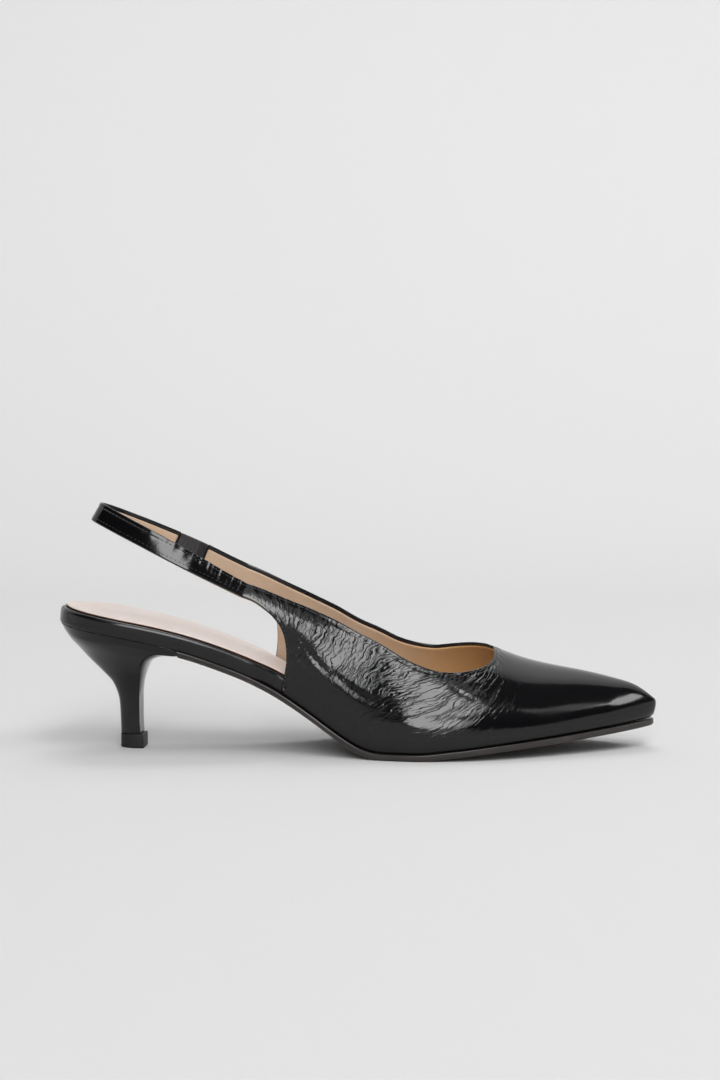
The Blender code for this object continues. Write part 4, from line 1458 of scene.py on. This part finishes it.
def stack(name: str, lines: list[np.ndarray], columns: int) -> tuple[bpy.types.Object, np.ndarray]:
    """Closed solid lofted through closed lines, capped by rungs from side to side.

    Args:
        name: name of the piece.
        lines: its lines from the bottom up, each with the outer side first.
        columns: faces across a cap.

    Returns:
        The piece, and for each face the number of the layer below it, -1 on the lower cap and
        one less than the number of lines on the upper cap.
    """
    count = len(lines[0])
    half = count // 2
    points = [np.concatenate(lines)]
    faces = wall_faces(len(lines), count)
    layer = np.repeat(np.arange(len(lines) - 1), count).tolist()
    base = count * len(lines)
    for mark, line in ((-1, lines[0]), (len(lines) - 1, lines[-1])):
        shares = np.linspace(0, 1, columns + 1)[None, :, None]
        grid = line[:half, None] + (line[::-1][:half, None] - line[:half, None]) * shares
        points.append(grid.reshape(-1, 3))
        ids = base + np.arange(half * (columns + 1)).reshape(half, columns + 1)
        base += ids.size
        quads = grid_faces(ids)
        if mark < 0:
            quads = quads[:, ::-1]
        faces += quads.tolist()
        layer += [mark] * len(quads)
    made = new_object(name, np.concatenate(points), faces)
    numbers = made.data.attributes.new("layer", "INT", "FACE")
    numbers.data.foreach_set("value", np.array(layer, np.int32))
    point_faces_out(made)
    kept = np.empty(len(made.data.polygons), np.int32)
    made.data.attributes["layer"].data.foreach_get("value", kept)
    made.data.attributes.remove(made.data.attributes["layer"])
    return made, kept


@dataclass
class Bottom:
    """Outsole, wrapped insole and sock."""

    last: Last
    finishes: Finishes
    # where each begins and over what run, in shares of the length
    waist_start: tuple[float, float] = (0.16, 0.08)
    waist_end: tuple[float, float] = (0.44, 0.10)
    closed_start: tuple[float, float] = (0.318, 0.038)
    fore_start: tuple[float, float] = (0.40, 0.12)
    reveal: float = 0.35 * MM
    waist_bevel: float = 2.2 * MM
    bevel_left: float = 0.16
    edge_round: float = 0.5 * MM
    lip_reach: float = 20.5 * MM
    lip_lap: float = 0.5 * MM
    board_seat: float = 6.3 * MM
    board_fore: float = 3.0 * MM
    board_round: float = 1.6 * MM
    lean_room: float = 0.2 * MM
    sock_thickness: float = 0.7 * MM
    sock_inset: float = 2.0 * MM

    def waist(self, x: np.ndarray) -> np.ndarray:
        """Return 1 in the waist of the shoe and 0 at the seat and the ball."""
        share = self.last.share(x)
        return ramp(share, *self.waist_start) * (1 - ramp(share, *self.waist_end))

    def board_inset(self, x: np.ndarray) -> np.ndarray:
        """Return the insole's inset: none at the open seat, the upper's wall further on."""
        inside = self.last.wall + self.last.clearance + self.lean_room
        return inside * ramp(self.last.share(x), *self.closed_start)

    def board_top(self, x: np.ndarray) -> np.ndarray:
        """Return the insole's thickness."""
        return mix(self.board_seat, self.board_fore, ramp(self.last.share(x), *self.fore_start))

    def make_outsole(self) -> bpy.types.Object:
        """Return the leather sole with its painted edge and bevelled waist."""
        thick = self.last.sole_thickness
        places = stations(self.last.toe, self.lip_reach - self.lip_lap, 190, False)
        waist = self.waist(places)
        flat = 0 * waist
        cut = mix(self.edge_round, self.waist_bevel, waist)
        bevel = self.bevel_left * self.waist_bevel * waist
        shoulder = mix(0.72, 0.45, waist)
        # inset and lift of each line, from the tread up to the feather
        layers = [
            (cut + 1.2 * MM, -thick + flat),
            (cut + 0.25 * MM, -thick + flat),
            (cut, -thick * 0.985 + flat),
            (mix(cut, bevel, 0.15), -thick * mix(0.96, 0.90, waist)),
            (mix(cut, bevel, 0.55), -thick * mix(0.86, 0.70, waist)),
            (bevel, -thick * shoulder),
            (0.05 * self.waist_bevel * waist, -thick * shoulder * 0.6),
            (flat, -0.25 * thick + flat),
            (flat, -0.10 * thick + flat),
            (0.12 * self.edge_round + flat, -0.03 * thick + flat),
            (0.5 * self.edge_round + flat, flat),
        ]
        lines = []
        for inset, lift in layers:
            line = self.last.rim(places, inset - self.reveal, lift)
            line[:, 0] = np.maximum(line[:, 0], places[-1])
            line[:, 2] = np.maximum(line[:, 2], 0.0)
            lines.append(line)
        made, layer = stack("leather_outsole", lines, 10)
        paint(made, "sole_leather", self.finishes.sole_edge, self.finishes.sole_welt, self.finishes.tread)
        slots = np.select([layer < 1, (layer >= 1) & (layer < 3), layer >= 3], [2, 1, 0])
        made.data.polygons.foreach_set("material_index", slots.astype(np.int32))
        made.data.set_sharp_from_angle(angle=math.radians(50))
        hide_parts("outsole")
        return made

    def make_insole(self) -> bpy.types.Object:
        """Return the padded insole, wrapped in the upper's leather."""
        last = self.last
        places = stations(last.toe, last.back, 200, True)
        top, inset, flat = self.board_top(places), self.board_inset(places), 0 * places
        lines = [
            last.rim(places, inset + self.edge_round, flat + last.clearance),
            last.rim(places, inset + 0.25 * self.edge_round, flat + last.clearance + 0.12 * self.edge_round),
            last.rim(places, inset, flat + last.clearance + 0.5 * self.edge_round),
        ]
        for share in (0.2, 0.5, 0.8):
            belly = 0.10 * MM * math.sin(math.pi * share)
            lift = last.clearance + mix(0.5 * self.edge_round, top - self.board_round, share)
            lines.append(last.rim(places, inset - belly, lift))
        for turn in range(0, 91, 9):
            cut = self.board_round * (1 - math.cos(math.radians(turn)))
            drop = self.board_round * (1 - math.sin(math.radians(turn)))
            lines.append(last.rim(places, inset + cut, last.clearance + top - drop))
        made, _ = stack("wrapped_insole", lines, 16)
        paint(made, "board_wrap", self.finishes.band)
        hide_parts("insole")
        return made

    def make_sock(self) -> bpy.types.Object:
        """Return the leather sock glued on the insole."""
        last = self.last
        places = stations(last.toe, last.back, 200, True)
        foot = 2 * last.clearance + self.board_top(places)
        inset, thick = self.board_inset(places) + self.sock_inset, self.sock_thickness
        lines = [
            last.rim(places, inset, foot),
            last.rim(places, inset, foot + 0.55 * thick),
            last.rim(places, inset + 0.08 * thick, foot + 0.8 * thick),
            last.rim(places, inset + 0.36 * thick, foot + 0.97 * thick),
            last.rim(places, inset + 0.9 * thick, foot + thick),
        ]
        made, layer = stack("sock_leather", lines, 24)
        paint(made, "sock_lining", self.finishes.sock, self.finishes.sock_edge)
        made.data.polygons.foreach_set("material_index", np.where(layer < 1, 1, 0).astype(np.int32))
        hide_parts("sock")
        return made

    def build(self) -> list[bpy.types.Object]:
        """Return the pieces under the foot."""
        return [self.make_outsole(), self.make_insole(), self.make_sock()]


# ---- heel


@dataclass
class Heel:
    """Curved heel covered in smooth patent, and its matt top piece."""

    last: Last
    finishes: Finishes
    tip_height: float = 6.0 * MM
    tip_length: float = 10.4 * MM
    tip_width: float = 10.6 * MM
    tip_squareness: float = 0.85
    tip_overhang: float = 0.4 * MM
    seat_margin: float = 0.6 * MM
    seat_share: float = 0.485
    seat_squareness: float = 0.52
    lip_reach: float = 20.5 * MM
    turn: float = -6.0
    levels: int = 72
    # drop from the seat as a share of the column, how far the seat's slope carries down, then the
    # flare of the sides, of the back, of the corners and of the middle of the breast
    rows: Table = (
        (0.007, 1.00, 1.000, 1.000, 1.000, 1.000),
        (0.060, 1.00, 0.965, 0.955, 0.970, 0.990),
        (0.100, 1.00, 0.880, 0.905, 0.300, 0.820),
        (0.155, 1.00, 0.760, 0.835, 0.140, 0.480),
        (0.225, 0.95, 0.590, 0.700, 0.050, 0.250),
        (0.308, 0.80, 0.400, 0.545, -0.010, 0.125),
        (0.403, 0.50, 0.220, 0.330, -0.055, 0.040),
        (0.510, 0.20, 0.095, 0.140, -0.080, -0.025),
        (0.675, 0.00, 0.025, 0.040, -0.080, -0.080),
        (0.840, 0.00, 0.000, 0.022, -0.080, -0.085),
        (1.000, 0.00, 0.000, 0.014, -0.060, -0.060),
    )

    def outline(self, back: float, corner: float, front: float, half: float, roundness: float) -> np.ndarray:
        """D-shaped line in plan, from the outer corner round the back and across the breast.

        Args:
            back: x of its back.
            corner: x of its two corners.
            front: x of the middle of its breast.
            half: its half-width.
            roundness: share of its length that its round back takes up.

        Returns:
            The points, at z 0.
        """
        angle = np.linspace(0, np.pi, 81)
        x = mix(corner, back, np.sin(angle))
        y = half * round_end(x - back, roundness * (corner - back))
        y = np.where(angle < np.pi / 2, -y, y)
        u = np.linspace(0, 1, 25)[1:-1]
        breast_x = corner + (front - corner) * np.sin(np.pi * u)
        return np.stack(
            (np.concatenate((x, breast_x)), np.concatenate((y, half * np.cos(np.pi * u))), np.zeros(104)), axis=1
        )

    def turned(self, line: np.ndarray, angle: float) -> np.ndarray:
        """Return a line turned about the heel tip's middle, in degrees."""
        c, s = math.cos(math.radians(angle)), math.sin(math.radians(angle))
        return np.stack((line[:, 0] * c - line[:, 1] * s, line[:, 0] * s + line[:, 1] * c, line[:, 2]), axis=1)

    def make_heel(self) -> bpy.types.Object:
        """Return the covered heel."""
        last = self.last
        middle = float(last.bottom(0.0))
        column = middle - self.tip_height - last.clearance
        tip_back = -self.tip_length / 2 + self.tip_overhang
        tip_front = -tip_back
        curves = [Profile(self.rows, k, 0.014) for k in range(1, 6)]
        lines = []
        first, end = self.rows[0][0], self.rows[-1][0]
        spots = mix(first, end, np.linspace(0, 1, self.levels) ** 1.35)
        for drop in spots:
            tilt, flare, back, corner, lip = (float(c(drop)) for c in curves)
            line = self.outline(
                mix(tip_back, last.back + self.seat_margin, back),
                mix(tip_front, self.lip_reach, corner),
                mix(tip_front, self.lip_reach, lip),
                mix(self.tip_width / 2 - self.tip_overhang, self.seat_share * last.seat_width, flare),
                mix(self.tip_squareness, self.seat_squareness, flare),
            )
            line = self.turned(line, self.turn * (1 - flare))
            line[:, 2] = middle - drop * column + tilt * (last.bottom(line[:, 0]) - middle)
            lines.append(line)
        made = self.lofted("covered_heel", lines)
        paint(made, "heel_cover", self.finishes.smooth_patent)
        made.data.set_sharp_from_angle(angle=math.radians(58))
        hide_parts("heel")
        return made

    def lofted(self, name: str, lines: list[np.ndarray]) -> bpy.types.Object:
        """Return a closed solid through closed lines, with a fan of faces on each end."""
        count = len(lines[0])
        points = np.concatenate((*lines, lines[0].mean(0)[None], lines[-1].mean(0)[None]))
        faces = wall_faces(len(lines), count)
        for hub, base in ((len(points) - 2, 0), (len(points) - 1, (len(lines) - 1) * count)):
            faces += [(hub, base + j, base + (j + 1) % count) for j in range(count)]
        made = new_object(name, points, faces)
        point_faces_out(made)
        return made

    def make_tip(self) -> bpy.types.Object:
        """Return the matt top piece with softened edges."""
        layers = [(0.9, 0.0), (0.35, 0.0), (0.12, 0.10), (0.0, 0.35), (0.0, 1.0), (0.0, 3.2), (0.0, 5.5)]
        layers += [(0.10, 5.85), (0.3, 6.0), (0.9, 6.0)]
        lines = []
        for inset, z in layers:
            line = self.outline(
                -self.tip_length / 2 + inset * MM,
                self.tip_length / 2 - inset * MM,
                self.tip_length / 2 - inset * MM,
                self.tip_width / 2 - inset * MM,
                self.tip_squareness,
            )
            line = self.turned(line, self.turn)
            line[:, 2] = z * MM
            lines.append(line)
        made = self.lofted("heel_top_piece", lines)
        paint(made, "heel_tip_rubber", self.finishes.rubber)
        made.data.set_sharp_from_angle(angle=math.radians(45))
        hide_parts("heel_tip")
        return made

    def build(self) -> list[bpy.types.Object]:
        """Return the heel and its top piece."""
        return [self.make_heel(), self.make_tip()]


# ---- elastic


@dataclass
class Gore:
    """Gathered elastic between the two ends of the strap on the inner side."""

    sling: Sling
    finishes: Finishes
    thickness: float = 1.5 * MM
    gathers: int = 11
    depth: float = 0.42 * MM
    sway: float = 0.9
    pinch: float = 0.35
    threads: int = 4
    steps: int = 16
    rows: int = 14

    def make(self) -> bpy.types.Object:
        """Return the elastic, pleated by its rubber threads."""
        count = self.gathers * self.steps + 1
        turns = np.linspace(*(self.sling.turn_at(x) for x in self.sling.gore), count)
        rows = np.linspace(0.03, 0.97, self.rows)
        net = self.sling.strap(Side.INNER, turns, rows)
        _, outwards = self.sling.lower_edge(Side.INNER, turns)
        phase = np.linspace(0, 2 * np.pi * self.gathers, count)[:, None]
        sway = self.sway * np.sin(rows[None, :] * 5.0 + phase * 0.13)
        wave = ((1 - np.cos(phase + sway)) / 2) ** 0.75
        pinch = 1 - self.pinch * np.abs(np.sin(np.pi * np.linspace(0, self.threads, self.rows)))[None, :]
        fold = self.depth * wave * pinch
        deep = (self.sling.last.wall - self.thickness) / 2
        outside = net - outwards[:, None] * (deep + fold)[..., None]
        inside = net - outwards[:, None] * (deep + self.thickness - fold)[..., None]
        ring = np.concatenate((outside, inside[:, ::-1]), axis=1)
        around = ring.shape[1]
        faces = [(a, d, c, b) for a, b, c, d in wall_faces(count, around)]
        for base in (0, (count - 1) * around):
            for r in range(self.rows - 1):
                a, b = base + r, base + around - 1 - r
                faces.append((a, a + 1, b - 1, b))
        made = new_object("gathered_elastic", ring.reshape(-1, 3), faces)
        point_faces_out(made)
        paint(made, "elastic", self.finishes.elastic)
        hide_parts("elastic_gore")
        return made

    def build(self) -> list[bpy.types.Object]:
        """Return the elastic alone."""
        return [self.make()]


# ---- studio


@dataclass(frozen=True)
class Softbox:
    """Rectangular soft light: its sides are in metres, its power in watts and its roll in degrees."""

    name: str
    place: Corner
    sides: tuple[float, float]
    power: float
    roll: float = 0.0
    aim: Corner = (0.08, 0.0, 0.03)

    def hang(self) -> None:
        """Hang the light, facing what it is aimed at and turned about its own axis."""
        lamp = bpy.data.lights.new(self.name, "AREA")
        lamp.shape = "RECTANGLE"
        lamp.size, lamp.size_y = self.sides
        lamp.energy = self.power
        made = bpy.data.objects.new(self.name, lamp)
        made.location = self.place
        facing = (Vector(self.aim) - Vector(self.place)).to_track_quat("-Z", "Y")
        made.rotation_euler = (facing @ Quaternion((0, 0, 1), math.radians(self.roll))).to_euler()
        bpy.context.scene.collection.objects.link(made)


@dataclass
class Studio:
    """Pale floor that bends up behind the shoe, soft lights and the camera."""

    tone: float = 0.56
    floor_front: float = -1.15
    bend_start: float = 0.55
    bend_radius: float = 0.6
    wall_top: float = 2.6
    half_width: float = 2.6
    distance: float = 1.3
    elevation: float = 5.5
    target: tuple[float, float, float] = (0.0956, 0.0, 0.0875)
    focal_pixels: float = 3098.9
    frame_pixels: float = 1080.0
    lights: tuple[Softbox, ...] = (
        Softbox("key softbox", (0.432, -2.502, 2.305), (3.6, 1.05), 118.0, 59.0),
        Softbox("strap softbox", (1.821, -0.255, 1.35), (0.9, 0.5), 11.0, 20.0),
        Softbox("back softbox", (0.1, 1.0, 1.9), (0.9, 0.9), 16.0, aim=(0.1, 0.1, 0.0)),
        Softbox("right strip", (1.37, -0.62, 1.35), (0.22, 0.5), 0.5),
        Softbox("wall light", (0.1, -0.2, 2.2), (1.6, 1.6), 9.0, aim=(0.1, 1.15, 0.9)),
    )

    def make_sweep(self) -> None:
        """Lay the floor and backdrop in one sheet."""
        track = [(self.floor_front, 0.0), (0.0, 0.0), (self.bend_start, 0.0)]
        for k in range(1, 25):
            angle = math.pi / 2 * k / 24
            y = self.bend_start + self.bend_radius * math.sin(angle)
            track.append((y, self.bend_radius * (1 - math.cos(angle))))
        track.append((self.bend_start + self.bend_radius, self.wall_top))
        points = [(x, y, z - 0.02 * MM) for y, z in track for x in (-self.half_width, self.half_width + 0.1)]
        faces = [(2 * k, 2 * k + 1, 2 * k + 3, 2 * k + 2) for k in range(len(track) - 1)]
        sweep = new_object("studio_sweep", np.array(points), faces)
        made, _, shader = start_material("pale matt sweep")
        shader["Base Color"].default_value = (self.tone, self.tone, self.tone, 1.0)
        shader["Roughness"].default_value = 0.9
        shader["Specular IOR Level"].default_value = 0.0
        sweep.data.materials.append(made)

    def make_world(self) -> None:
        """Set the room: pale low down like the floor, and dark above that."""
        world = bpy.data.worlds.new("studio room")
        world.use_nodes = True
        n = Nodes(world.node_tree)
        ground = world.node_tree.nodes["Background"]
        height = n.split(n.add("ShaderNodeTexCoord").outputs["Generated"])[2]
        level = n.plus(n.span(height, 0.35, 0.90, 0.004, 0.05), n.span(height, 0.27, 0.31, 0.75, 0.0))
        shade = n.add("ShaderNodeCombineColor", {0: level, 1: level, 2: level})
        n.feed(ground.inputs["Color"], shade.outputs[0])
        ground.inputs["Strength"].default_value = 1.0
        bpy.context.scene.world = world

    def make_camera(self) -> None:
        """Set the camera at the photograph's angle."""
        camera = bpy.data.cameras.new("camera")
        camera.sensor_width = 36.0
        camera.lens = self.focal_pixels * camera.sensor_width / self.frame_pixels
        camera.clip_start, camera.clip_end = 0.05, 20.0
        made = bpy.data.objects.new("camera", camera)
        angle = math.radians(self.elevation)
        back = Vector((0.0, -math.cos(angle), math.sin(angle)))
        made.location = Vector(self.target) + back * self.distance
        made.rotation_euler = (-back).to_track_quat("-Z", "Y").to_euler()
        bpy.context.scene.collection.objects.link(made)
        bpy.context.scene.camera = made

    def build(self) -> None:
        """Set up the studio."""
        self.make_sweep()
        self.make_world()
        self.make_camera()
        for softbox in self.lights:
            softbox.hang()
        settings = bpy.context.scene.view_settings
        settings.view_transform = "Standard"
        settings.look = "None"
        settings.exposure = 0.0
        settings.gamma = 1.0


def main() -> None:
    """Build and dress the shoe, then the studio round it."""
    last = Last()
    sling = Sling(last)
    finishes = Finishes()
    parts = (Upper(last, sling, finishes), Bottom(last, finishes), Heel(last, finishes), Gore(sling, finishes))
    for part in parts:
        for piece in part.build():
            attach(piece, "root")
            log.info("%s: %d faces", piece.name, len(piece.data.polygons))
    Studio().build()


if __name__ == "__main__":
    main()
